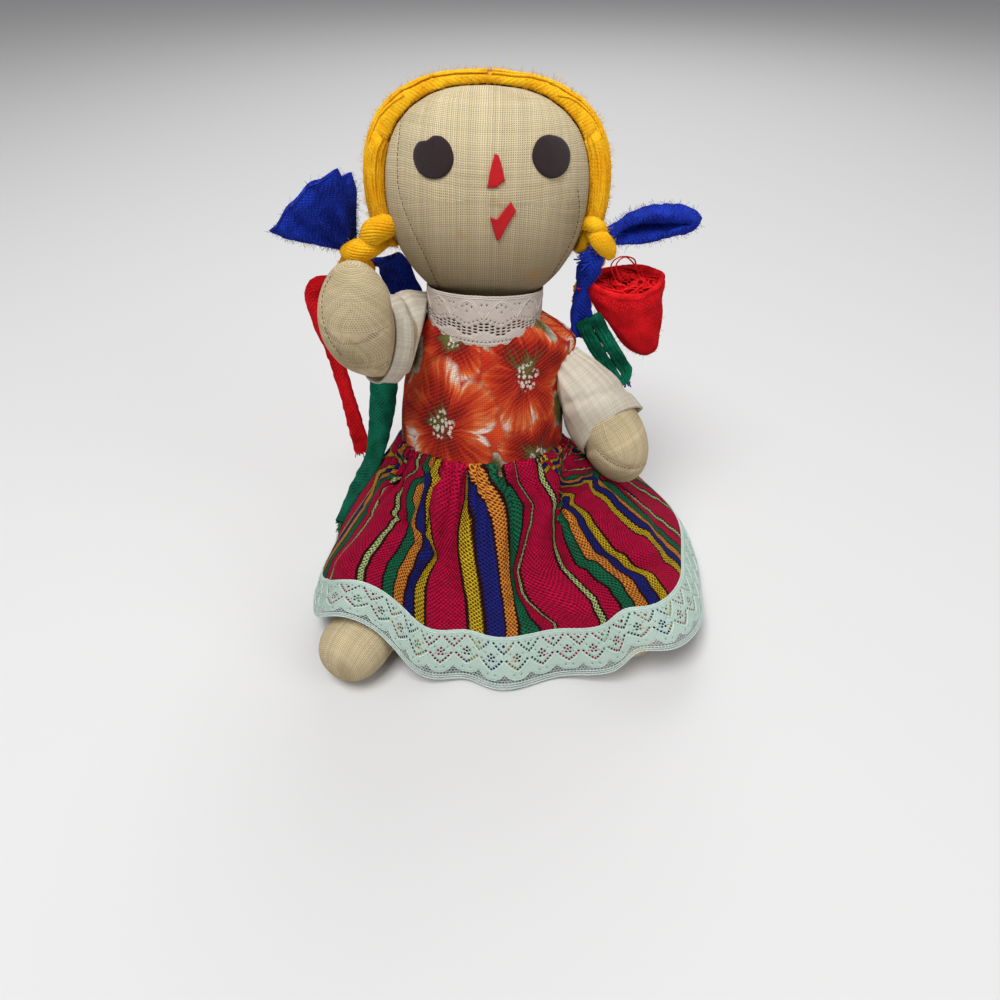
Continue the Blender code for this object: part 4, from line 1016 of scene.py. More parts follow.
def stripe_map(points):
    """Distance across the cloth for a grid of points: as photographed where it shows, and even behind."""
    rows, columns = points.shape[:2]
    pixels = pixels_of(points)
    edges = np.array([u for u, _ in STRIPE_EDGES]) / 1000
    routes = [([p[1] for p in route], [p[0] for p in route]) for _, route in STRIPE_EDGES]
    facing = np.einsum("ijk,ijk->ij", grid_normals(points), unit(np.array(CAMERA_PLACE) - points))
    order = (np.arange(columns) + columns // 2) % columns
    middle = columns // 2
    shown = (facing[:, order] > 0.05).sum(0) > rows * 0.8
    right = middle + next(k for k in range(middle) if not shown[middle + k]) - 4
    left = middle - next(k for k in range(middle) if not shown[middle - k]) + 4
    result = np.zeros((rows, columns + 1))
    for row in range(rows):
        line = pixels[row, order]
        seen_at = np.zeros(right - left + 1)
        for k, (x, y) in enumerate(line[left:right + 1]):
            spots = np.array([np.interp(y, downs, acrosses) for downs, acrosses in routes])
            spots = np.maximum.accumulate(spots + np.arange(len(spots)) * 0.01)
            if x < spots[0]:
                seen_at[k] = edges[0] - (spots[0] - x) * CLOTH_PER_PIXEL
            elif x > spots[-1]:
                seen_at[k] = edges[-1] + (x - spots[-1]) * CLOTH_PER_PIXEL
            else:
                seen_at[k] = np.interp(x, spots, edges)
        seen_at = np.maximum.accumulate(seen_at)
        behind = points[row, order]
        steps = np.linalg.norm(np.diff(np.concatenate([behind, behind[:1]]), axis=0), axis=1)
        rest = np.concatenate([steps[right:], steps[:left]])
        along = np.cumsum(rest) / rest.sum() * (CLOTH_ROUND - (seen_at[-1] - seen_at[0])) + seen_at[-1]
        full = np.zeros(columns + 1)
        full[left:right + 1] = seen_at
        full[right + 1:columns] = along[:columns - right - 1]
        full[:left] = along[columns - right - 1:-1] - CLOTH_ROUND
        full[columns] = full[0] + CLOTH_ROUND
        result[row] = full
    return result, order


STRIPES = (("crimson", 22), ("lime", 5), ("crimson", 10), ("green", 8), ("orange", 8), ("navy", 8), ("yellow", 8),
           ("crimson", 22), ("yellow", 8), ("navy", 8), ("orange", 8), ("green", 8), ("crimson", 10), ("lime", 5))
STRIPE_COLOURS = {"crimson": (0.72, 0.003, 0.065), "lime": (0.66, 0.78, 0.30), "green": (0.004, 0.20, 0.090),
                  "orange": (1.0, 0.34, 0.045), "navy": (0.010, 0.022, 0.24), "yellow": (0.84, 0.56, 0.020)}
STRIPE_GROUND = (0.030, 0.005, 0.008)
STRIPE_LINE = 1.5
KNOT_ACROSS = 0.0024
KNOT_DOWN = 0.0022


def serape_look():
    """Thick striped weave: raised knots in an offset order over a dark ground, with painted shade in the hollows
    between knots and strands.
    """
    look = Look("skirt_stripes")
    total = sum(width for _, width in STRIPES)
    wander = look.noise(700.0, 1.0)
    one = look.math("COSINE", look.times(look.u, 2 * pi / KNOT_ACROSS))
    two = look.math("COSINE", look.math("MULTIPLY_ADD", look.v, 2 * pi / KNOT_DOWN, look.times(wander, 1.5)))
    u = look.math("MULTIPLY_ADD", wander, 0.0006, look.math("SUBTRACT", look.u, 0.0003))
    u = look.math("MULTIPLY_ADD", two, 0.0003, u)
    place = look.math("FRACT", look.times(u, 1000 / total))
    ramp = look.node("ShaderNodeValToRGB", {"Fac": place})
    ramp.color_ramp.interpolation = "CONSTANT"
    stops = []
    passed = 0
    for name, width in STRIPES:
        stops.append((passed / total, STRIPE_GROUND))
        stops.append(((passed + STRIPE_LINE / 2) / total, STRIPE_COLOURS[name]))
        stops.append(((passed + width - STRIPE_LINE / 2) / total, STRIPE_GROUND))
        passed += width
    stops = [stop for index, stop in enumerate(stops) if index % 3 or index == 0]
    elements = ramp.color_ramp.elements
    while len(elements) < len(stops):
        elements.new(0.5)
    for element, (position, colour) in zip(elements, stops):
        element.position = position
        element.color = (*colour, 1.0)
    stripe = ramp.outputs["Color"]
    knot = look.times(one, two)
    strand = look.wave(look.add(look.times(look.u, 0.7), look.v), 0.0009)
    bright = look.node("ShaderNodeSeparateColor", {"Color": stripe}).outputs["Green"]
    hole = look.step(knot, 0.10, -0.60)
    depth = look.math("MULTIPLY_ADD", look.step(bright, 0.05, 0.40), 0.28, 0.62)
    patch = look.noise(220.0, 2.0)
    # Painted shade in the grooves between the strands.
    colour = look.mix(look.times(look.math("SUBTRACT", 1.0, strand), 0.22), stripe, STRIPE_GROUND)
    colour = look.mix(look.times(look.step(patch, 0.45, 0.8), 0.25), colour, STRIPE_GROUND)
    # Painted shade in the hollows between the knots, stronger on the bright stripes.
    colour = look.mix(look.times(hole, depth), colour, (0.020, 0.006, 0.006))
    fibre = look.times(look.noise(2400.0, 2.0), 0.4)
    height = look.add(look.add(look.times(knot, 0.9), look.times(strand, 0.2)), fibre)
    return look.finish(colour, 0.95, height, 0.0010, 1.0)


def make_skirt():
    shares = np.concatenate([(-0.035, -0.02), np.linspace(0, SKIRT_END, SKIRT_ROWS)])
    points = skirt_surface(shares, SKIRT_COLUMNS)
    tuck = np.array(tuple(SPINE)) * 0.0015
    middle = points[2].mean(0)
    points[0] = middle + (points[2] - middle) * 0.93 + tuck
    points[1] = middle + (points[2] - middle) * 0.975 + tuck
    across, order = stripe_map(points)
    down = np.cumsum(np.concatenate([[0], np.full(len(points) - 1, CLOTH_LENGTH / len(points))]))
    maps = [[(across[row][k], down[row]) for k in range(SKIRT_COLUMNS + 1)] for row in range(len(points))]
    skirt = lay_grid("skirt_cloth", points[:, order], maps, True, serape_look(), "root",
                     ("skirt",), SKIRT_THICKNESS)


# Laces: a tile of pierced ground and its cords, in metres along and down the lace
def pierced_tile(pitch, height, low_edge, holes, spacing):
    """Triangles of one tile of lace ground, without its holes and what is below its low edge."""
    points, edges = [], []

    def add_loop(loop, closed):
        start = len(points)
        points.extend(loop)
        count = len(loop)
        edges.extend((start + k, start + (k + 1) % count) for k in range(count if closed else count - 1))

    columns = max(int(round(pitch / spacing)), 4)
    add_loop([(pitch * k / columns, 0.0) for k in range(columns + 1)], False)
    fine = columns * 3
    low = [(pitch * k / fine, low_edge(pitch * k / fine)) for k in range(fine + 1)]
    add_loop(low, False)
    rows = int(height / spacing) + 1
    for x in (0.0, pitch):
        bottom = low_edge(0.0)
        add_loop([(x, bottom * (k + 1) / (rows + 1)) for k in range(rows)], False)
    for x, y, long, wide, turn in holes:
        loop = []
        for k in range(8):
            angle = 2 * pi * k / 8
            a, b = long * cos(angle), wide * sin(angle)
            loop.append((x + a * cos(turn) - b * sin(turn), y + a * sin(turn) + b * cos(turn)))
        add_loop(loop, True)
    for row in range(1, rows + 1):
        for column in range(1, columns):
            x, y = pitch * column / columns, height * row / (rows + 1)
            clear = all((x - h[0]) ** 2 + (y - h[1]) ** 2 > (h[2] + 0.0004) ** 2 for h in holes)
            if clear and y < low_edge(x) - 0.0004:
                points.append((x, y))
    flat, _, triangles, _, _, _ = delaunay_2d_cdt([Vector(p) for p in points], edges, [], 0, 1e-7)
    kept = []
    for triangle in triangles:
        x = sum(flat[k].x for k in triangle) / 3
        y = sum(flat[k].y for k in triangle) / 3
        if not 0 <= y <= low_edge(x) - 1e-6:
            continue
        inside = False
        for hx, hy, long, wide, turn in holes:
            a = (x - hx) * cos(turn) + (y - hy) * sin(turn)
            b = -(x - hx) * sin(turn) + (y - hy) * cos(turn)
            if (a / long) ** 2 + (b / wide) ** 2 < 0.98:
                inside = True
                break
        if not inside:
            kept.append(tuple(triangle))
    return np.array([tuple(p) for p in flat]), kept


class Band:
    """A closed band of surface on which lace is laid, by metres along and down it."""

    def __init__(self, points, height):
        self.points = points
        self.normals = grid_normals(points)
        self.height = height
        middle = points[len(points) * 2 // 3]
        steps = np.linalg.norm(np.diff(np.concatenate([middle, middle[:1]]), axis=0), axis=1)
        self.passed = np.concatenate([[0], np.cumsum(steps)])
        self.length = self.passed[-1]

    def at(self, along, down, lift=0.0):
        rows, columns = self.points.shape[:2]
        column = np.interp(np.mod(along, self.length), self.passed, np.arange(columns + 1))
        row = np.clip(np.asarray(down) / self.height, 0, 1) * (rows - 1)
        c0 = np.floor(column).astype(int)
        r0 = np.minimum(np.floor(row).astype(int), rows - 2)
        fc = (column - c0)[..., None]
        fr = (row - r0)[..., None]
        c0, c1 = c0 % columns, (c0 + 1) % columns
        found = []
        for grid in (self.points, self.normals):
            low = grid[r0, c0] * (1 - fc) + grid[r0, c1] * fc
            high = grid[r0 + 1, c0] * (1 - fc) + grid[r0 + 1, c1] * fc
            found.append(low * (1 - fr) + high * fr)
        return found[0] + unit(found[1]) * np.asarray(lift)[..., None]


def lay_tiles(name, band, pitch, tile, triangles, lift, material, nodes, thickness):
    """Repeats a lace tile all round a band, joined at its sides and given its thickness."""
    count = int(round(band.length / pitch))
    faces, loop_map = [], []
    index = {}
    flat_points = []
    for repeat in range(count):
        names = []
        for x, y in tile:
            spot = (round((x + repeat * pitch) % (count * pitch), 7), round(y, 7))
            if spot not in index:
                index[spot] = len(flat_points)
                flat_points.append(spot)
            names.append(index[spot])
        for triangle in triangles:
            faces.append(tuple(names[k] for k in triangle))
            loop_map += [(tile[k][0] + repeat * pitch, tile[k][1]) for k in triangle]
    flat_points = np.array(flat_points)
    scale = band.length / (count * pitch)
    verts = band.at(flat_points[:, 0] * scale, flat_points[:, 1], np.full(len(flat_points), lift))
    obj = add_piece(name, verts, faces, material, "root", nodes, loop_map)
    solid = obj.modifiers.new("Thickness", "SOLIDIFY")
    solid.thickness = thickness
    solid.offset = 0.0
    return obj, count


def add_cord(bundle, band, count, pitch, shape, lift, radius, steps, sides=4):
    """A cord round a band, at a distance down it that repeats with each tile."""
    along = np.arange(count * steps + 1) / steps * pitch
    down = np.array([shape((k % steps) / steps) for k in range(count * steps + 1)])
    path = band.at(along * (band.length / (count * pitch)), down, np.full(len(along), lift))
    bundle.tube(path, radius, sides)


def add_bars(bundle, starts, ends, radius):
    """Straight three-sided threads between pairs of points."""
    for start, end in zip(starts, ends):
        bundle.tube(np.array([start, end]), radius, 3)


HEM_PITCH = 0.0130
HEM_LACE_HEIGHT = 0.0262


def hem_low_edge(x):
    """Scalloped low edge of the hem lace's solid ground."""
    return 0.0178 + 0.0038 * abs(sin(pi * x / HEM_PITCH)) ** 0.7


def hem_holes():
    """Holes of the hem lace: a fan hanging from the top edge, and a flower in a shield below it."""
    holes = []
    half = HEM_PITCH / 2
    for side in (0.0, HEM_PITCH):
        for k in range(-4, 5):
            holes.append((side + k * 0.00126, 0.0076 - abs(k) ** 1.25 * 0.00082, 0.00064, 0.00062, 0.0))
        holes.append((side, 0.0042, 0.00080, 0.00074, 0.0))
        for k in (-1, 1):
            holes.append((side + k * 0.0016, 0.0030, 0.00034, 0.00034, 0.0))
    for k in range(-4, 5):
        holes.append((half + k * 0.00130, 0.0160 - abs(k) ** 1.25 * 0.00080, 0.00068, 0.00068, 0.0))
    for x, y in ((0.0, 0.0086), (-0.00145, 0.0098), (0.00145, 0.0098), (0.0, 0.0104), (-0.00095, 0.0118),
                 (0.00095, 0.0118)):
        holes.append((half + x, y, 0.00068, 0.00064, 0.0))
    for k in (-1, 1):
        holes.append((half + k * 0.0032, 0.0082, 0.00032, 0.00032, 0.0))
        holes.append((half + k * 0.0018, 0.0190, 0.00034, 0.00034, 0.0))
        holes.append((half + k * 0.0026, 0.0116, 0.00030, 0.00030, 0.0))
    return [hole for hole in holes if -0.0008 < hole[0] < HEM_PITCH + 0.0008]


# Shape down the lace along one tile, lift, radius and steps to a tile
HEM_CORDS = (
    (lambda s: -0.0002 - 0.0005 * abs(sin(6 * pi * s)), 0.0, 0.00034, 24),
    (lambda s: 0.0012, 0.0002, 0.00020, 8),
    (lambda s: 0.0090 - 0.0150 * min(s, 1 - s) ** 1.25, 0.0002, 0.00026, 16),
    (lambda s: 0.0175 - 0.0056 * abs(2 * s - 1) ** 1.25, 0.0002, 0.00028, 16),
    (lambda s: hem_low_edge(s * HEM_PITCH), 0.0, 0.00030, 18),
    (lambda s: NET_TOP + 0.0001 * sin(16 * pi * s), 0.0, 0.00026, 16),
    (lambda s: NET_RIM + 0.0001 * sin(16 * pi * s), 0.0, 0.00026, 16),
    (lambda s: NET_END + 0.0004 * abs(sin(8 * pi * s)), 0.0, 0.00034, 32),
)
# Distances down the lace of the net's last row, of its rim and of its end
NET_TOP = 0.0233
NET_RIM = 0.0245
NET_END = 0.0257
NET_ROWS = 12
NET_CELLS = 8
NET_THREAD = 0.00019


def make_hem_lace():
    shares = np.linspace(LACE_START, 1.0, 30)
    points = skirt_surface(shares, 640)
    points = points + grid_normals(points) * 0.0013
    band = Band(points, HEM_LACE_HEIGHT)
    tile, triangles = pierced_tile(HEM_PITCH, 0.0216, hem_low_edge, hem_holes(), 0.0011)
    lace, count = lay_tiles("hem_lace_ground", band, HEM_PITCH, tile, triangles, 0.0, LOOKS["mint"],
                            ("hem_lace",), 0.0003)
    cords = Bundle()
    pitch = HEM_PITCH
    for shape, lift, radius, steps in HEM_CORDS:
        add_cord(cords, band, count, pitch, shape, lift, radius, steps)
    cord = cords.piece("hem_lace_cords", LOOKS["mint_cord"], "root")
    net = Bundle()
    cells = count * NET_CELLS
    cell = count * pitch / cells
    rise = cell * 0.86
    starts, ends = [], []
    for row in range(NET_ROWS):
        for column in range(cells):
            x = (column + 0.5 * (row % 2)) * cell
            y = NET_TOP - row * rise
            for a, b in (((x, y - 0.33 * rise), (x - cell / 2, y)), ((x, y - 0.33 * rise), (x + cell / 2, y)),
                         ((x, y - 0.33 * rise), (x, y - rise))):
                if (a[1] + b[1]) / 2 > hem_low_edge(((a[0] + b[0]) / 2) % pitch) - 0.0002:
                    starts.append(a)
                    ends.append(b)
    for column in range(cells):
        starts.append((column * cell, NET_TOP))
        ends.append((column * cell, NET_RIM))
        starts.append(((column + 0.5) * cell, NET_RIM))
        ends.append(((column + 0.5) * cell, NET_END))
    scale = band.length / (count * pitch)
    starts, ends = np.array(starts), np.array(ends)
    still = np.zeros(len(starts))
    heads = band.at(starts[:, 0] * scale, starts[:, 1], still)
    feet = band.at(ends[:, 0] * scale, ends[:, 1], still)
    add_bars(net, heads, feet, NET_THREAD)
    mesh = net.piece("hem_lace_net", LOOKS["mint_cord"], "root")


# Rings of points round the leaning body
def ring_points(tree, height, columns, fallback):
    """Points where rays towards the spine meet a surface, evenly spaced round a height."""
    middle = on_spine(height)
    found = []
    for index in range(columns):
        angle = 2 * pi * index / columns
        way = ACROSS * sin(angle) + FORWARD * cos(angle)
        hit = tree.ray_cast(middle + way * 0.12, -way)
        if hit[0] is None or (hit[0] - middle).length > 0.07 or (hit[0] - middle).dot(way) < 0.01:
            hit = fallback.ray_cast(middle + way * 0.12, -way)
            spot = hit[0] + way * 0.0015 if hit[0] is not None else middle + way * 0.02
        else:
            spot = hit[0]
        found.append(tuple(spot))
    return np.array(found)


def joined_tree(nodes):
    """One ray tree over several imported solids."""
    points, faces = [], []
    for node in nodes:
        mesh = NODES[node].data
        start = len(points)
        points += [v.co.copy() for v in mesh.vertices]
        faces += [[start + k for k in face.vertices] for face in mesh.polygons]
    return BVHTree.FromPolygons(points, faces)


def soften_rows(points, rounds):
    """Evens out a closed grid of points."""
    for _ in range(rounds):
        inner = (np.roll(points, 1, axis=1) + np.roll(points, -1, axis=1)) / 2
        up = points.copy()
        up[1:-1] = (points[:-2] + points[2:]) / 2
        points = points * 0.4 + inner * 0.35 + up * 0.25
    return points


BODICE_LOW = 0.0745
NECKLINE = 0.1455
BODICE_COLUMNS = 240
BODICE_ROWS = 90
# How far the blouse stands out at each shoulder, and at what height
SHOULDER_FULLNESS = (("left", 0.0130, 0.1330), ("right", 0.0040, 0.1340))
SHOULDER_SPREAD = 0.0115
BODICE_RADIUS = 0.040
BODICE_THICKNESS = 0.0007


STITCH_ROW = 0.0019
# Positions and colours from a motif's middle to its edge
BLOSSOM_STOPS = ((0.0, (0.10, 0.13, 0.035)), (0.16, (0.055, 0.070, 0.020)), (0.22, (0.13, 0.005, 0.004)),
                 (0.42, (0.32, 0.010, 0.006)), (0.64, (0.54, 0.050, 0.012)), (0.80, (0.66, 0.16, 0.045)),
                 (0.93, (0.74, 0.60, 0.50)))
LEAF_STOPS = ((0.0, (0.13, 0.17, 0.045)), (0.6, (0.050, 0.085, 0.022)), (1.0, (0.50, 0.46, 0.36)))
# Across and up the cloth from the middle of its front, size, petals, turn and kind
PRINT_MOTIFS = (
    (0.050, 0.028, 0.013, 3, 0.4, "leaf"), (-0.050, 0.050, 0.013, 3, 1.2, "leaf"),
    (0.003, 0.003, 0.012, 3, 0.8, "leaf"), (0.034, 0.070, 0.012, 3, 0.1, "leaf"),
    (0.004, 0.066, 0.009, 3, 0.9, "leaf"), (0.085, 0.050, 0.013, 3, 0.5, "leaf"),
    (-0.090, 0.012, 0.013, 3, 0.2, "leaf"),
    (-0.068, 0.052, 0.024, 6, 0.5, "blossom"), (-0.062, 0.006, 0.026, 5, 1.1, "blossom"),
    (0.066, 0.062, 0.023, 5, 0.9, "blossom"), (0.074, 0.010, 0.024, 5, 0.0, "blossom"),
    (0.106, 0.030, 0.022, 6, 0.4, "blossom"), (-0.108, 0.034, 0.024, 5, 0.8, "blossom"),
    (0.031, 0.008, 0.024, 5, 1.4, "blossom"), (-0.020, 0.062, 0.022, 5, 0.2, "blossom"),
    (0.024, 0.046, 0.026, 6, 1.0, "blossom"), (-0.020, 0.024, 0.030, 5, 0.3, "blossom"),
)


def print_look():
    """Printed cotton: big rounded blossoms and leaves of this script's own drawing, with rows of pale stitches."""
    look = Look("blouse_print")
    wander = look.noise(90.0, 3.0)
    u = look.math("MULTIPLY_ADD", wander, 0.006, look.math("SUBTRACT", look.u, 0.003))
    v = look.math("MULTIPLY_ADD", look.noise(75.0, 3.0), 0.006, look.math("SUBTRACT", look.v, 0.003))
    cloth = look.mix(look.step(look.noise(55.0, 3.0), 0.35, 0.7), (0.42, 0.012, 0.008), (0.62, 0.060, 0.014))
    for x, y, size, petals, turn, kind in PRINT_MOTIFS:
        dx = look.math("SUBTRACT", u, x)
        dy = look.math("SUBTRACT", v, y)
        far = look.math("SQRT", look.add(look.times(dx, dx), look.times(dy, dy)))
        angle = look.math("ARCTAN2", dy, dx)
        lobes = look.math("ABSOLUTE", look.math("SINE", look.math("MULTIPLY_ADD", angle, petals / 2, turn)))
        reach = look.math("MULTIPLY_ADD", look.math("POWER", lobes, 0.45), size * 0.42, size * 0.58)
        share = look.math("DIVIDE", far, reach)
        mask = look.step(share, 1.04, 0.98)
        brush = look.node("ShaderNodeCombineXYZ", {"X": look.times(angle, 9.0), "Y": look.times(share, 1.4),
                                                   "Z": turn + petals})
        stroke = look.math("SUBTRACT", look.noise(1.0, 3.0, brush.outputs["Vector"], 0.6), 0.5)
        glow = look.math("SUBTRACT", look.noise(46.0, 1.0), 0.5)
        brushed = look.math("MULTIPLY_ADD", stroke, 0.75, look.times(share, 0.82))
        tint = look.math("MULTIPLY_ADD", glow, 1.2, brushed)
        ramp = look.node("ShaderNodeValToRGB", {"Fac": tint if kind == "blossom" else share})
        stops = BLOSSOM_STOPS if kind == "blossom" else LEAF_STOPS
        elements = ramp.color_ramp.elements
        while len(elements) < len(stops):
            elements.new(0.5)
        for element, (position, colour) in zip(elements, stops):
            element.position = position
            element.color = (*colour, 1.0)
        vein = look.wave(angle, 2 * pi / (petals * 7))
        tone = look.mix(look.times(look.step(vein, 0.55, 0.95), 0.30), ramp.outputs["Color"], (0.30, 0.008, 0.006))
        edge = look.times(look.step(share, 0.93, 1.0), 0.55)
        tone = look.mix(edge, tone, (0.20, 0.006, 0.005))
        cloth = look.mix(mask, cloth, tone)
        if kind == "blossom":
            cells = look.node("ShaderNodeTexVoronoi", {"Vector": look.uv, "Scale": 480.0, "Randomness": 0.8})
            dots = cells.outputs["Distance"]
            spot = look.times(look.step(dots, 0.55, 0.40), look.times(look.step(share, 0.27, 0.21), 0.85))
            cloth = look.mix(spot, cloth, (0.66, 0.64, 0.54))
    slant = look.math("MULTIPLY_ADD", look.u, -0.50, look.v)
    row = look.wave(slant, STITCH_ROW)
    row_number = look.math("FLOOR", look.times(slant, 1 / STITCH_ROW))
    dash = look.wave(look.math("MULTIPLY_ADD", row_number, 0.0007, look.u), 0.0015)
    stitch = look.times(look.step(row, 0.80, 0.98), look.math("MULTIPLY_ADD", look.step(dash, 0.35, 0.6), 0.6, 0.4))
    weave = look.times(look.wave(look.u, 0.0011), look.wave(look.v, 0.0009))
    cloth = look.mix(look.times(stitch, 0.24), cloth, (0.62, 0.24, 0.10))
    # Painted shade in the dips of the weave.
    cloth = look.mix(look.times(look.step(weave, 0.3, 0.8), 0.35), cloth, (0.10, 0.008, 0.006))
    height = look.add(look.times(stitch, 0.7), look.times(weave, -0.5))
    return look.finish(cloth, 0.92, height, 0.0004, 0.9)


def make_bodice(torso):
    """Printed blouse over the torso, full at the belly and shoulders and a little gathered at its neck and waist."""
    tree = joined_tree(("bodice_front_panel", "bodice_back_panel"))
    fallback = tree_of(torso)
    heights = np.linspace(BODICE_LOW, NECKLINE, BODICE_ROWS)[::-1]
    points = np.array([ring_points(tree, height, BODICE_COLUMNS, fallback) for height in heights])
    points = soften_rows(points, 14)
    normals = grid_normals(points)
    turns = 2 * pi * np.arange(BODICE_COLUMNS) / BODICE_COLUMNS
    share = np.linspace(0, 1, BODICE_ROWS)[:, None]
    neck = 0.0008 * np.sin(turns * 26 + 2 * np.sin(turns * 3))[None, :] * np.clip(1 - share / 0.35, 0, 1)
    waist = 0.0007 * np.sin(turns * 22 + 2 * np.sin(turns * 5))[None, :] * np.clip(1 - (1 - share) / 0.4, 0, 1)
    swell = 0.0014 * np.sin(pi * np.clip(share, 0, 1)) ** 0.8
    points = points + normals * (neck + waist + swell)[..., None]
    for side, reach, middle in SHOULDER_FULLNESS:
        facing = np.clip(np.sin(turns) * SIGN[side], 0, 1) ** 2
        shoulder = reach * np.exp(-((heights - middle) / SHOULDER_SPREAD) ** 2)
        points = points + (shoulder[:, None] * facing[None, :])[..., None] * np.array(tuple(ACROSS * SIGN[side]))
    maps = []
    for row, height in enumerate(heights):
        maps.append([((k / BODICE_COLUMNS - 0.5) * 2 * pi * BODICE_RADIUS, height - BODICE_LOW)
                     for k in range(BODICE_COLUMNS + 1)])
    order = (np.arange(BODICE_COLUMNS) + BODICE_COLUMNS // 2) % BODICE_COLUMNS
    blouse = lay_grid("bodice_cloth", points[:, order], maps, True, print_look(), "root",
                      ("bodice_front_panel", "bodice_back_panel"), BODICE_THICKNESS)


COLLAR_PITCH = 0.0160
COLLAR_HEIGHT = 0.0205
COLLAR_COLUMNS = 180
# Heights up the spine of the collar's top, of the ring that guides it, and of its low edge
COLLAR_TOP = 0.1565
COLLAR_GUIDE = 0.1555
COLLAR_SIDE = 0.1395
COLLAR_FRONT = 0.1345
COLLAR_BACK = 0.1420
# Shape down the lace along one tile, lift, radius and steps to a tile
COLLAR_CORDS = (
    (lambda s: 0.0001 + 0.0004 * abs(sin(8 * pi * s)), 0.0002, 0.00030, 32),
    (lambda s: 0.0012, 0.0003, 0.00018, 8),
    (lambda s: 0.0098 - 0.0076 * (1 - abs(2 * s - 1) ** 1.7), 0.0002, 0.00030, 24),
    (lambda s: 0.0084 - 0.0070 * (1 - abs(2 * s - 1) ** 1.9), 0.0002, 0.00018, 24),
    (lambda s: 0.0176 + 0.0008 * cos(2 * pi * s), 0.0002, 0.00016, 12),
    (lambda s: 0.0204, 0.0001, 0.00024, 10),
)


def collar_low_edge(x):
    return COLLAR_HEIGHT


def collar_holes():
    """Slots in stepped rows and small dots, as in a machine-made lace edging."""
    holes = []
    half = COLLAR_PITCH / 2
    for k in range(6):
        x = COLLAR_PITCH * (k + 0.5) / 6
        slope = 1 - abs(x - half) / half
        for row in range(3):
            holes.append((x, 0.0108 + 0.0030 * slope + 0.00125 * row, 0.00105, 0.00042, 0.0))
    for k in range(8):
        x = COLLAR_PITCH * (k + 0.5) / 8
        slope = 1 - abs(x - half) / half
        holes.append((x, 0.0088 + 0.0028 * slope, 0.00034, 0.00030, 0.0))
        holes.append((x, 0.0188, 0.00042, 0.00026, 0.0))
    for x, y in ((half - 0.0022, 0.0046), (half + 0.0022, 0.0046), (half, 0.0066), (half, 0.0036), (0.0026, 0.0060),
                 (COLLAR_PITCH - 0.0026, 0.0060), (0.0012, 0.0036), (COLLAR_PITCH - 0.0012, 0.0036)):
        holes.append((x, y, 0.00036, 0.00036, 0.0))
    return holes


def make_collar(torso):
    """Ivory lace round the neck, with a corded top edge and a zigzag of leaf outlines."""
    tree = joined_tree(("neck_lace",))
    tops = ring_points(tree, COLLAR_GUIDE, COLLAR_COLUMNS, tree_of(torso))
    angles = 2 * pi * np.arange(COLLAR_COLUMNS) / COLLAR_COLUMNS
    rise = np.where(np.cos(angles) > 0, COLLAR_FRONT - COLLAR_SIDE, COLLAR_BACK - COLLAR_SIDE)
    low = COLLAR_SIDE + rise * np.cos(angles) ** 2
    rows = []
    for share in np.linspace(0, 1, 22):
        ring = []
        for angle, bottom, top in zip(angles, low, tops):
            height = COLLAR_TOP + (bottom - COLLAR_TOP) * share
            middle = on_spine(height)
            way = ACROSS * sin(angle) + FORWARD * cos(angle)
            hit = tree.ray_cast(middle + way * 0.08, -way)
            if hit[0] is None or (hit[0] - middle).dot(way) < 0.015:
                spot = middle + way * (Vector(top) - on_spine(COLLAR_GUIDE)).dot(way)
            else:
                spot = hit[0]
            ring.append(tuple(spot))
        rows.append(ring)
    points = soften_rows(np.array(rows), 6)
    points = points + grid_normals(points) * 0.0004
    band = Band(points, COLLAR_HEIGHT)
    tile, triangles = pierced_tile(COLLAR_PITCH, COLLAR_HEIGHT, collar_low_edge, collar_holes(), 0.0010)
    lace, count = lay_tiles("neck_lace_ground", band, COLLAR_PITCH, tile, triangles, 0.0, LOOKS["ivory"],
                            ("neck_lace",), 0.0005)
    cords = Bundle()
    pitch = COLLAR_PITCH
    for shape, lift, radius, steps in COLLAR_CORDS:
        add_cord(cords, band, count, pitch, shape, lift, radius, steps)
    cord = cords.piece("neck_lace_cords", LOOKS["ivory_cord"], "root")


# Limbs
SHOULDERS = {"right": on_spine(0.136, -0.0313), "left": on_spine(0.136, 0.0313)}
SHOULDER_TILT = radians(12.5)
ARM_REACH = 0.090
ARM_ROUTES = {
    "right": ((0.06, 0.06, -0.02), (-0.05, -0.08, 0.02), (-0.15, -0.30, 0.08), (-0.20, -0.45, 0.18),
              (-0.21, -0.52, 0.34), (-0.20, -0.53, 0.49), (-0.195, -0.535, 0.59)),
    "left": ((-0.07, 0.08, 0.06), (0.03, -0.01, -0.04), (0.16, -0.13, -0.21), (0.28, -0.21, -0.37),
             (0.37, -0.27, -0.51), (0.44, -0.31, -0.66), (0.48, -0.33, -0.76)),
}
# Pixels and depths from the shoulder to the cuff, the way that the cuff faces, and the radii to it
SLEEVES = {
    "right": ([(431, 325, 0.0406), (408, 331, 0.0280), (378, 341, 0.0082)], (-0.83, -0.42, 0.37),
              (0.0150, 0.0168, 0.0184, 0.0190)),
    "left": ([(560, 359, 0.0290), (575, 381, 0.0230), (613, 431, 0.0125)], (0.60, -0.58, -0.54),
             (0.0092, 0.0134, 0.0162, 0.0176, 0.0180)),
}
SLEEVE_ROWS = 46
SLEEVE_COLUMNS = 96
SLEEVE_THICKNESS = 0.0006
CUFF_RADIUS = 0.0185
# Rings of the cuff's turned-in hem: distance back from its edge, and share of the edge's radius
CUFF_HEM = ((0.0000, 0.975), (0.0012, 0.955), (0.0045, 0.950), (0.0085, 0.945))
# How far the front of a sleeve's top laps over the blouse
ARMHOLES = {"right": -0.0032, "left": 0.0}
# Rows of pixels of the seams sewn along the hands
HAND_SEAMS = {"right": [(331, 276), (324, 290), (322, 306), (324, 324), (331, 342), (342, 356)],
              "left": [(597, 450), (608, 460), (622, 467), (636, 468), (650, 461)]}


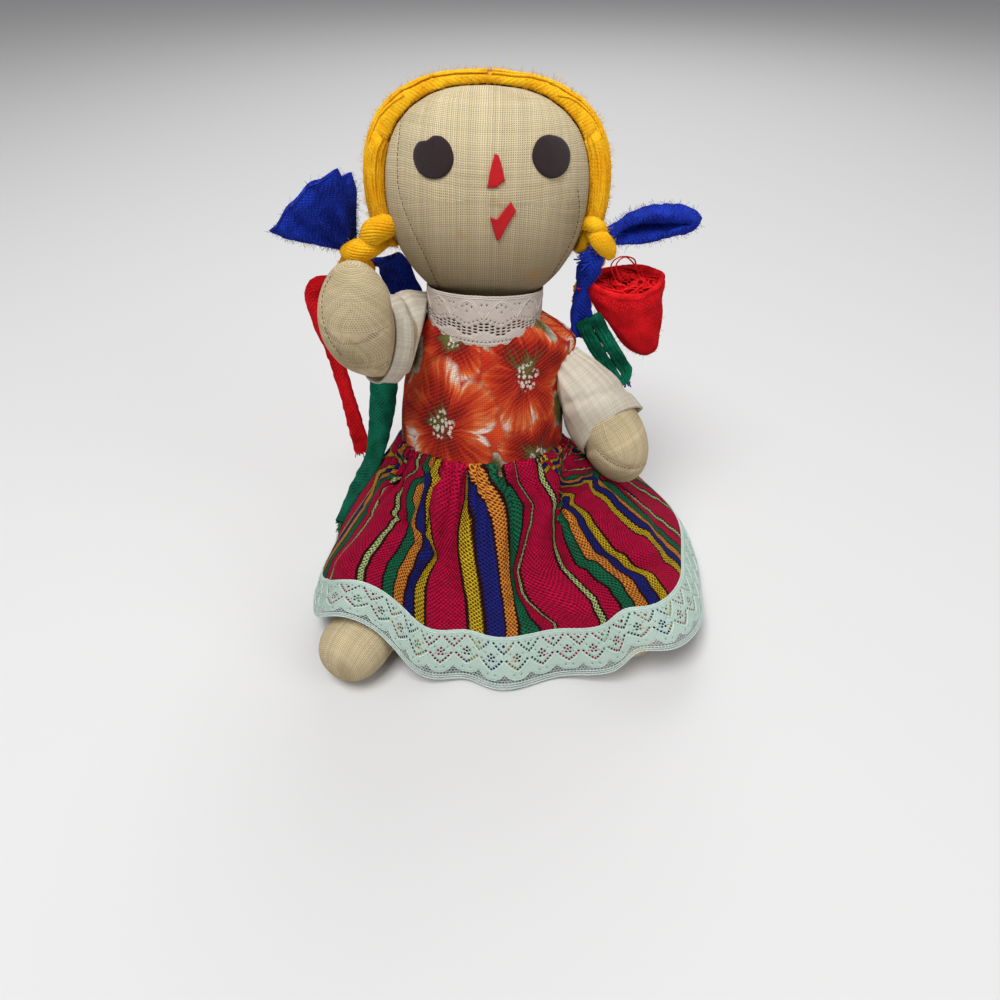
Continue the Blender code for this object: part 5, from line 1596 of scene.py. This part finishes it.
def arm_route(side):
    return [SHOULDERS[side] + Vector(share) * ARM_REACH for share in ARM_ROUTES[side]]


def sleeve_rings(side):
    """Centres, facing directions and radii of the rings of a sleeve, from the shoulder to the cuff."""
    places, facing, radii = SLEEVES[side]
    path = smooth_route([seen(*place) for place in places], SLEEVE_ROWS)
    shares = np.linspace(0, 1, SLEEVE_ROWS)[:, None]
    tangents = unit(np.gradient(path, axis=0))
    ways = unit(tangents * (1 - shares) + unit(np.array(facing)) * shares)
    sizes = np.interp(shares[:, 0], np.linspace(0, 1, len(radii)), radii)
    return path, ways, sizes


def fit_in_sleeve(arm, side):
    """Draws the upper arm in so that it lies inside its sleeve."""
    path, ways, sizes = sleeve_rings(side)
    points = vertices_of(arm)
    nearest = np.argmin(np.linalg.norm(points[:, None] - path[None], axis=2), axis=1)
    out = points - path[nearest]
    out = out - ways[nearest] * np.einsum("ij,ij->i", out, ways[nearest])[:, None]
    far = np.linalg.norm(out, axis=1)
    beyond = np.where(nearest == SLEEVE_ROWS - 1, np.maximum((points - path[-1]) @ ways[-1], 0), 0.0)
    limit = sizes[nearest] - 0.0016 + 1.8 * beyond
    if side == "left":
        limit = np.where(nearest == 0, 0.0045, limit)
    over = np.where(far > limit, 1 - limit / np.maximum(far, 1e-9), 0.0)
    move_vertices(arm, points - out * over[:, None])
    ease = arm.modifiers.new("Ease", "SMOOTH")
    ease.factor = 0.5
    ease.iterations = 8
    return bake_modifiers(arm)


def make_arms():
    for side in SIGN:
        nodes = tuple(side + "_arm_" + part for part in ("inner_panel", "outer_panel", "stuffing"))
        arm = smooth_form(side + "_arm_cover", side + "_arm_stuffing", 0.0011, 45, COVER + 0.0008)
        fit_in_sleeve(arm, side)
        unroll(arm, arm_route(side), -FORWARD)
        dress(arm, LOOKS["limb"], side + "_arm", nodes)
        press_seam(arm, line_on(tree_of(arm), HAND_SEAMS[side], 50), 0.0013, 0.0007)
        stitches = Bundle()
        tree = tree_of(arm)
        stitch_line(stitches, tree, line_on(tree, HAND_SEAMS[side], 50), 0.0009, 0.0011, THREAD_RADIUS * 0.9)
        stitches.piece(side + "_hand_stitches", LOOKS["stitch"], side + "_arm")


def make_legs():
    for side in SIGN:
        nodes = tuple(side + "_leg_" + part for part in ("upper_panel", "lower_panel", "stuffing"))
        hip = Vector((SIGN[side] * 0.021, -0.002, 0.017))
        stuffed_form(side + "_leg_cover", side + "_leg_stuffing", 0.0013, 12, nodes, side + "_leg", "limb",
                     [hip, FOOT_CENTRES[side]], Vector((0, 0, 1)))


def make_torso():
    nodes = ("torso_front_panel", "torso_back_panel", "torso_stuffing")
    return stuffed_form("torso_cover", "torso_stuffing", 0.0018, 8, nodes, "root", "limb",
                        [on_spine(0.0), on_spine(0.150)], FORWARD)


def make_sleeves():
    """White cotton round each upper arm, gathered at the armhole, with a hem turned in at the cuff."""
    for side in SIGN:
        path, ways, sizes = sleeve_rings(side)
        across = unit(np.array(tuple(SPINE)) - ways * (ways @ np.array(tuple(SPINE)))[:, None])
        deep = np.cross(ways, across)
        columns = SLEEVE_COLUMNS
        turns = 2 * pi * np.arange(columns) / columns
        normal = np.array(tuple(ACROSS * (SIGN[side] * cos(SHOULDER_TILT)) + SPINE * sin(SHOULDER_TILT)))
        centre = np.array(tuple(SHOULDERS[side])) + normal * 0.0005
        toward = unit(np.array(CAMERA_PLACE) - path[-1])
        rows = []
        for row, place in enumerate(path):
            share = row / (len(path) - 1)
            wave = 0.0006 * np.sin(turns * 3 + 5 * share + SIGN[side]) * sin(pi * share) ** 0.5
            wave = wave + 0.0007 * np.sin(turns * 17 + 2 * np.sin(turns * 2)) * (1 - share) ** 2
            crease = np.exp(-((share - 0.55 - 0.16 * np.cos(turns + 0.6)) / 0.07) ** 2)
            wave = wave - 0.0013 * crease
            level = share * 2.6 + SIGN[side] * 5
            lump = np.array([noise.noise(Vector((cos(t) * 1.6, sin(t) * 1.6, level))) for t in turns])
            radii = sizes[row] + wave + 0.0012 * lump * (0.35 + 0.65 * share)
            spokes = across[row] * np.cos(turns)[:, None] + deep[row] * np.sin(turns)[:, None]
            ring = place + spokes * radii[:, None]
            if side == "left":
                ring -= ways[-1] * (0.0050 * share ** 4 * np.clip(spokes @ toward, 0, 1))[:, None]
            depth = (ring - centre) @ normal - ARMHOLES[side] * np.clip(spokes @ toward, 0, 1)
            rows.append(ring - np.minimum(depth, 0)[:, None] * normal)
        outer = rows[-1]
        tangent = ways[-1]
        for back, shrink in CUFF_HEM:
            rows.append(path[-1] + (outer - path[-1]) * shrink - tangent * back)
        points = np.array(rows)
        along = np.concatenate([[0], np.cumsum(np.linalg.norm(np.diff(points, axis=0), axis=2).mean(1))])
        around = 2 * pi * CUFF_RADIUS
        maps = [[(around * k / columns, along[row]) for k in range(columns + 1)] for row in range(len(points))]
        faces, corners = grid_faces(len(points), columns, True, maps)
        sleeve = add_piece(side + "_sleeve_cloth", points.reshape(-1, 3), faces, LOOKS["cotton"], side + "_arm",
                           (side + "_sleeve",), corners)
        solid = sleeve.modifiers.new("Thickness", "SOLIDIFY")
        solid.thickness = SLEEVE_THICKNESS
        solid.offset = 0.0


# Braids, bows and ribbons. Places are shares of the braid's length out, back and up from its hinge
HINGES = {"right": Vector((-0.051628, 0.044776, 0.157693)), "left": Vector((0.055907, 0.046354, 0.159955))}
BRAID_LENGTH = 0.046
BRAIDS = {
    "right": ((0.0, 0.0, 0.125), (0.0, 0.0, 0.0), (0.02, 0.06, -0.20), (0.02, 0.13, -0.50), (0.02, 0.16, -0.82),
              (0.02, 0.17, -1.00)),
    "left": ((0.0, 0.0, 0.125), (0.0, 0.0, 0.0), (-0.05, 0.08, -0.20), (-0.07, 0.17, -0.50), (-0.03, 0.20, -0.78),
             (0.0, 0.20, -0.94)),
}


def from_hinge(side, out, back, up):
    return HINGES[side] + Vector((SIGN[side] * out, back, up)) * BRAID_LENGTH


def make_braids():
    """Three plaited locks of yarn below each knot."""
    for side in SIGN:
        bundle = Bundle()
        path = smooth_route([from_hinge(side, *spot) for spot in BRAIDS[side]], 60)
        _, across, deep = frames_along(path, Vector((1, 0, 0)))
        shares = np.linspace(0, 1, 60)
        for lock in range(3):
            turn = 2 * pi * (lock / 3 + shares * 2.4)
            wide = 0.0026 * np.interp(shares, (0, 0.12, 0.9, 1), (0.5, 1, 0.9, 0.35))
            line = (path + across * (np.sin(turn) * wide)[:, None]
                    + deep * (np.sin(2 * turn) * wide * 0.5)[:, None])
            _, side_way, deep_way = frames_along(line)
            for strand in range(7):
                angle = 2 * pi * strand / 7 + shares * 14
                size = 0.0021 * np.interp(shares, (0, 0.15, 0.9, 1), (0.7, 1, 0.9, 0.5))
                spokes = side_way * np.cos(angle)[:, None] + deep_way * np.sin(angle)[:, None]
                bundle.tube(line + spokes * size[:, None], 0.0010, 5, strand * 0.0004)
        bundle.piece(side + "_braid_yarn", LOOKS["yarn"], side + "_braid_group", (side + "_braid",))


def strap(name, places, halves, thick, wides, look, body, nodes, rough=0.0007, seed=0.0, count=56,
          sides=24):
    """A length of soft ribbon with rounded edges, uneven along its way."""
    path = smooth_route(places, count)
    halves = np.interp(np.linspace(0, 1, count), np.linspace(0, 1, len(halves)), halves)
    wide_rows = smooth_route([tuple(w) for w in wides], count) if len(wides) > 1 else np.tile(wides[0], (count, 1))
    tangents = unit(np.gradient(path, axis=0))
    wide_rows = unit(wide_rows - tangents * np.einsum("ij,ij->i", wide_rows, tangents)[:, None])
    deep = np.cross(tangents, wide_rows)
    turns = 2 * pi * np.arange(sides) / sides
    rows = []
    for row in range(count):
        x = np.sign(np.cos(turns)) * np.abs(np.cos(turns)) ** 0.6
        y = np.sign(np.sin(turns)) * np.abs(np.sin(turns)) ** 0.8
        bend = 0.25 * thick * np.sin(x * 3 + row * 0.12 + seed)
        ring = (path[row] + wide_rows[row] * (x * halves[row])[:, None]
                + deep[row] * (y * thick / 2 + bend)[:, None])
        push = np.array([noise.noise(Vector(tuple(p * 260)) + Vector((seed, 0, 0))) for p in ring]) * rough
        rows.append(ring + (wide_rows[row] * (x * push)[:, None]) + deep[row] * (y * push)[:, None])
    points = np.array(rows)
    along = np.concatenate([[0], np.cumsum(np.linalg.norm(np.diff(path, axis=0), axis=1))])
    spread = [halves.mean() * (1 - cos(pi * k / (sides / 2))) for k in range(sides + 1)]
    maps = [[(spread[k], along[row]) for k in range(sides + 1)] for row in range(count)]
    faces, corners = grid_faces(count, sides, True, maps)
    for start, order in ((0, 1), ((count - 1) * sides, -1)):
        faces.append(tuple(start + k for k in range(sides))[::order])
        corners += [maps[0][0]] * sides
    return add_piece(name, points.reshape(-1, 3), faces, LOOKS[look], body, nodes, corners)


def frayed_end(bundle, place, along, wide, half, count, length, radius=0.00035):
    """Loose looped strands at the cut end of a ribbon."""
    place, along, wide = (np.array(tuple(v), float) for v in (place, along, wide))
    along, wide = unit(along), unit(wide)
    deep = np.cross(along, wide)
    for index in range(count):
        start = place + wide * (half * (2 * (index + RANDOM.uniform(0.1, 0.9)) / count - 1)) - along * 0.0015
        reach = length * RANDOM.uniform(0.45, 1.0)
        sway = wide * RANDOM.normal(0, 0.22) + deep * RANDOM.normal(0, 0.22)
        bundle.tube(smooth_route([start, start + along * reach * 0.5 + sway * reach * 0.3,
                                  start + along * reach + sway * reach], 8), radius * RANDOM.uniform(0.7, 1.2), 4,
                    RANDOM.uniform(0, 0.01))


def make_right_ribbons():
    side = "right"
    body = "right_braid_group"
    out = Vector((-1, 0, 0))
    start = knot_centre(side) + out * 0.0060
    rise, lean = radians(56), radians(20)
    flat = out * cos(rise) + Vector((0, 0, 1)) * sin(rise)
    along = flat * cos(lean) - Vector((0, 1, 0)) * sin(lean)
    wide = out * sin(rise) - Vector((0, 0, 1)) * cos(rise)
    bows = []
    for name, turn, shift, nodes in (("right_bow_front", 0.0, 0.0, ("right_blue_bow",)),
                                     ("right_bow_back", -0.16, 0.0032, ())):
        way = (along * cos(turn) + wide * sin(turn)).normalized()
        side_way = (wide * cos(turn) - along * sin(turn)).normalized()
        base = start + Vector((0, shift, 0.0))
        reach = 0.0290 * (1.0 if shift == 0.0 else 0.93)
        bows.append(fan(name, base, way, side_way, reach, 0.0215 * (1.0 if shift == 0.0 else 0.90), nodes))
    fringe = Bundle()
    strap("right_blue_tail_cloth", [from_hinge(side, *p) for p in ((-0.04, 0.13, 0.00), (-0.22, 0.24, -0.06),
                                                                   (-0.32, 0.24, -0.24), (-0.40, 0.24, -0.43))],
          [0.0070, 0.0082, 0.0080, 0.0074], 0.0032, [out], "blue", body, ("right_blue_tail",), seed=2.0)
    frayed_end(fringe, from_hinge(side, -0.40, 0.24, -0.43), Vector((0.2, 0, -1)), out, 0.0072, 26, 0.0045)
    fringe.piece("right_blue_fringe", LOOKS["blue_yarn"], body)
    make_fuzz("right_bow_fuzz", bows, "blue_yarn", "root")
    red = Bundle()
    strap("right_red_cloth", [from_hinge(side, *p) for p in ((0.05, 0.06, -0.16), (0.34, 0.05, -0.18),
                                                             (0.56, 0.05, -0.30), (0.50, 0.05, -0.80),
                                                             (0.42, 0.05, -1.35), (0.36, 0.05, -2.00),
                                                             (0.33, 0.05, -2.40))],
          [0.0034, 0.0046, 0.0056, 0.0040, 0.0038, 0.0044, 0.0048], 0.0034, [out], "red", body,
          ("right_red_ribbon",), seed=3.0)
    frayed_end(red, from_hinge(side, 0.33, 0.05, -2.38), Vector((0.12, 0, -1)), out, 0.0046, 18, 0.0075)
    red.piece("right_red_fringe", LOOKS["red_yarn"], body)
    green = Bundle()
    places = ((0.0, 0.10, -0.90), (-0.05, 0.06, -1.18), (-0.03, -0.20, -1.60), (0.07, -0.50, -2.08),
              (0.31, -0.62, -2.43), (0.456, -0.78, -2.667), (0.51, -0.876, -2.74))
    wides = [out.lerp(Vector((0, 1, 0)), t) for t in (0.0, 0.0, 0.25, 0.75, 1.0, 1.0, 1.0)]
    strap("right_green_cloth", [from_hinge(side, *p) for p in places],
          [0.0070, 0.0076, 0.0078, 0.0076, 0.0078, 0.0070, 0.0060], 0.0034, wides, "green", body,
          ("right_green_ribbon",), seed=4.0)
    frayed_end(green, from_hinge(side, *places[-1]), Vector((-0.5, -0.6, -0.6)), Vector((0, 1, 0)), 0.0060, 18,
               0.005)
    green.piece("right_green_fringe", LOOKS["green_yarn"], body)


def fan(name, base, along, wide, reach, half, nodes):
    """A folded fan of ribbon with pleats that run out from the knot."""
    deep = np.array(tuple(along.cross(wide)))
    along, wide, base = (np.array(tuple(v)) for v in (along, wide, base))
    count, sides = 46, 64
    turns = 2 * pi * np.arange(sides) / sides
    rows = []
    for row in range(count):
        share = row / (count - 1)
        size = half * np.interp(share, (0, 0.35, 0.70, 1.0), (0.20, 0.52, 0.86, 1.0))
        thick = 0.0042 * np.interp(share, (0, 0.3, 0.9, 1.0), (0.9, 1.0, 0.9, 0.45))
        x = np.cos(turns)
        y = np.sign(np.sin(turns)) * np.abs(np.sin(turns)) ** 0.7
        pleat = 0.0011 * np.sin(x * 9 + 1.3) * min(share * 3, 1.0)
        edge = reach * share + 0.0025 * share * np.cos(x * 2.0 + 0.6)
        ring = (base + along * edge[:, None] + wide * (x * size)[:, None]
                + deep * (y * thick / 1.3 + pleat)[:, None])
        push = np.array([noise.noise(Vector(tuple(p * 300))) for p in ring]) * 0.0006
        rows.append(ring + deep * (push * np.sign(y + 1e-9))[:, None])
    points = np.array(rows)
    maps = [[(half * (1 - cos(pi * k / (sides / 2))) * (0.3 + 0.7 * row / count), reach * row / count)
             for k in range(sides + 1)] for row in range(count)]
    faces, corners = grid_faces(count, sides, True, maps)
    for start, order in ((0, 1), ((count - 1) * sides, -1)):
        faces.append(tuple(start + k for k in range(sides))[::order])
        corners += [maps[0][0]] * sides
    return add_piece(name, points.reshape(-1, 3), faces, LOOKS["blue"], "root", nodes, corners)


LOOP_DEPTH = 0.0464
# Pixels that the middle of the left bow's loop runs through, out from the knot and back to it
LEFT_LOOP = ((603, 239), (615, 229), (630, 220), (650, 215.5), (670, 213.5), (686, 214.5), (695, 219),
             (688, 224.5), (673, 227), (655, 230.5), (640, 233.5), (622, 238), (605, 242))
LOOP_INSIDE = ((610, 238), (640, 227), (665, 221), (686, 219))


def make_left_ribbons():
    body = "left_braid_group"
    out = Vector((1, 0, 0))
    back = Vector((0, 1, 0))
    loop = strap("left_bow_loop", [seen(x, y, LOOP_DEPTH) for x, y in LEFT_LOOP],
                 [0.0034, 0.0050, 0.0062, 0.0064, 0.0060, 0.0056, 0.0060, 0.0064, 0.0062, 0.0050, 0.0034], 0.0042,
                 [back], "blue", "root", ("left_blue_bow",), 0.0009, 8.0, 96, 30)
    strap("left_bow_inside", [seen(x, y, LOOP_DEPTH + 0.0012) for x, y in LOOP_INSIDE],
          [0.0022, 0.0030, 0.0030, 0.0020], 0.0016, [Vector((-0.2, 0, 1))], "blue", "root", ())
    make_fuzz("left_bow_fuzz", [loop], "blue_yarn", "root")
    strap("left_blue_tail_cloth", [seen(*p) for p in ((600, 244, 0.0425), (592, 262, 0.0410), (584, 288, 0.0440),
                                                      (581, 312, 0.0440), (582, 336, 0.0440))],
          [0.0040, 0.0058, 0.0040, 0.0052, 0.0056], 0.0034, [out], "blue", body, ("left_blue_tail",),
          seed=5.0)
    navy = Bundle()
    frayed_end(navy, seen(590, 262, 0.0400), Vector((-0.9, 0, -0.45)), Vector((0.4, 0, -0.9)), 0.0052, 30,
               0.0078)
    frayed_end(navy, seen(627, 384, 0.0440), Vector((0.1, 0, -1)), out, 0.0016, 7, 0.0048)
    navy.piece("left_blue_fringe", LOOKS["blue_yarn"], body)
    green = Bundle()
    middle = smooth_route([(588, 318, 0), (598, 338, 0), (610, 358, 0), (621, 375, 0)], 12)[:, :2]
    square = unit(np.gradient(middle, axis=0)) @ np.array(((0.0, 1.0), (-1.0, 0.0)))
    for index in range(16):
        gap = 2.0 + 10.0 * (index % 8) / 7
        depth = 0.0440 - 0.0016 * (index // 8) + RANDOM.uniform(-0.0005, 0.0005)
        tip = middle[-1] + unit(middle[-1] - middle[-2]) * gap * 0.8
        line = list(middle + square * gap) + [tip] + list((middle - square * gap)[::-1])
        shake = RANDOM.normal(0, 0.5, (len(line), 2))
        spots = [seen(*(np.array(p) + s), depth) for p, s in zip(line, shake)]
        green.tube(smooth_route(spots, 44), 0.00085, 5, RANDOM.uniform(0, 0.01))
    loops = green.piece("left_green_loops", LOOKS["green_yarn"], body, ("left_green_ribbon",))
    make_fuzz("left_green_fuzz", [loops], "green_yarn", body)
    make_rose(body)


def make_rose(body):
    """A red ribbon rolled into a cup, with tangled threads inside."""
    sections = ((0.33, -0.02, -0.205, 0.93), (0.33, -0.02, -0.29, 1.02), (0.40, -0.03, -0.48, 0.86),
                (0.52, -0.05, -0.76, 0.62), (0.60, -0.065, -0.95, 0.40), (0.63, -0.07, -1.02, 0.16))
    rows = smooth_route([(*from_hinge("left", *s[:3]), s[3]) for s in sections], 40)
    columns = 72
    turns = 2 * pi * np.arange(columns) / columns
    points = []
    for index, row in enumerate(rows):
        lump = np.array([noise.noise(Vector((cos(t) * 2, sin(t) * 2, row[2] * 180))) for t in turns])
        wave = 1 + 0.06 * lump + 0.03 * np.sin(turns * 5 + row[2] * 300)
        tip = max(1 - index / 22, 0.0)
        ring = np.stack([row[0] + np.cos(turns) * 0.0190 * row[3] * wave,
                         row[1] + np.sin(turns) * 0.0078 * row[3] * wave,
                         row[2] + 0.0012 * np.sin(turns * 2 + 1) * row[3] + 0.0042 * np.sin(turns) * tip], axis=1)
        points.append(ring)
    points = np.array(points)
    inner = points[0].copy()
    middle = inner.mean(0)
    cup = [middle + (inner - middle) * 0.80 + np.array((0, 0, drop)) for drop in (-0.0085, -0.0040, -0.0005)]
    cup[0] = middle + (inner - middle) * 0.55 + np.array((0, 0, -0.0095))
    grid = np.array(cup + list(points))
    maps = [[(0.110 * k / columns, 0.046 * row / len(grid)) for k in range(columns + 1)] for row in range(len(grid))]
    faces, corners = grid_faces(len(grid), columns, True, maps)
    for start, order in ((0, 1), ((len(grid) - 1) * columns, -1)):
        faces.append(tuple(start + k for k in range(columns))[::order])
        corners += [maps[0][0]] * columns
    cloth = add_piece("left_rose_cloth", grid.reshape(-1, 3), faces, LOOKS["red"], body,
                      ("left_red_ribbon",), corners)
    threads = Bundle()
    rim = smooth_route(np.concatenate([inner, inner[:1]]), 150)
    around = np.linspace(0, 2 * pi, 150)
    for index in range(7):
        phase = around * 8 + 2 * pi * index / 7
        shrink = 0.965 + 0.045 * np.cos(phase)
        lift = np.stack([np.zeros(150), np.zeros(150), 0.0004 + 0.0010 * np.sin(phase)], axis=1)
        threads.tube(middle + (rim - middle) * shrink[:, None] + lift, 0.00062, 5)
    for index in range(30):
        turn = RANDOM.uniform(0, 2 * pi)
        size = RANDOM.uniform(0.25, 0.86)
        spots = []
        for step in range(9):
            angle = turn + step * 0.5
            lift = 0.0018 * sin(step * 1.7 + index) + 0.0042 * sin(angle) * size
            wide = size * (1 + 0.2 * sin(step * 2.3 + index))
            out, deep = cos(angle) * 0.0185 * wide, sin(angle) * 0.0076 * wide
            spots.append(middle + np.array((out, deep, lift - 0.0006)))
        threads.tube(smooth_route(spots, 30), 0.00046, 4)
    for shift in (0, 5):
        loop = [(617 + shift, 284), (611 + shift, 266), (620 + shift, 257), (634, 259 + shift), (636, 270)]
        threads.tube(smooth_route([seen(x, y, 0.0455) for x, y in loop], 24), 0.00040, 4)
    frayed_end(threads, seen(592, 281, 0.0440), Vector((-0.95, 0, 0.25)), Vector((0.25, 0, 0.95)), 0.0050, 22,
               0.0085)
    threads.piece("left_rose_threads", LOOKS["red_yarn"], body)
    make_fuzz("left_rose_fuzz", [cloth], "red_yarn", body)


def main():
    make_looks()
    make_camera()
    make_stage()
    head = make_head()
    make_face(head)
    make_hair(head)
    make_knot("right", RIGHT_LOBES)
    make_knot("left", LEFT_LOBES)
    torso = make_torso()
    make_bodice(torso)
    make_collar(torso)
    make_skirt()
    make_hem_lace()
    make_arms()
    make_sleeves()
    make_legs()
    make_braids()
    make_right_ribbons()
    make_left_ribbons()


main()
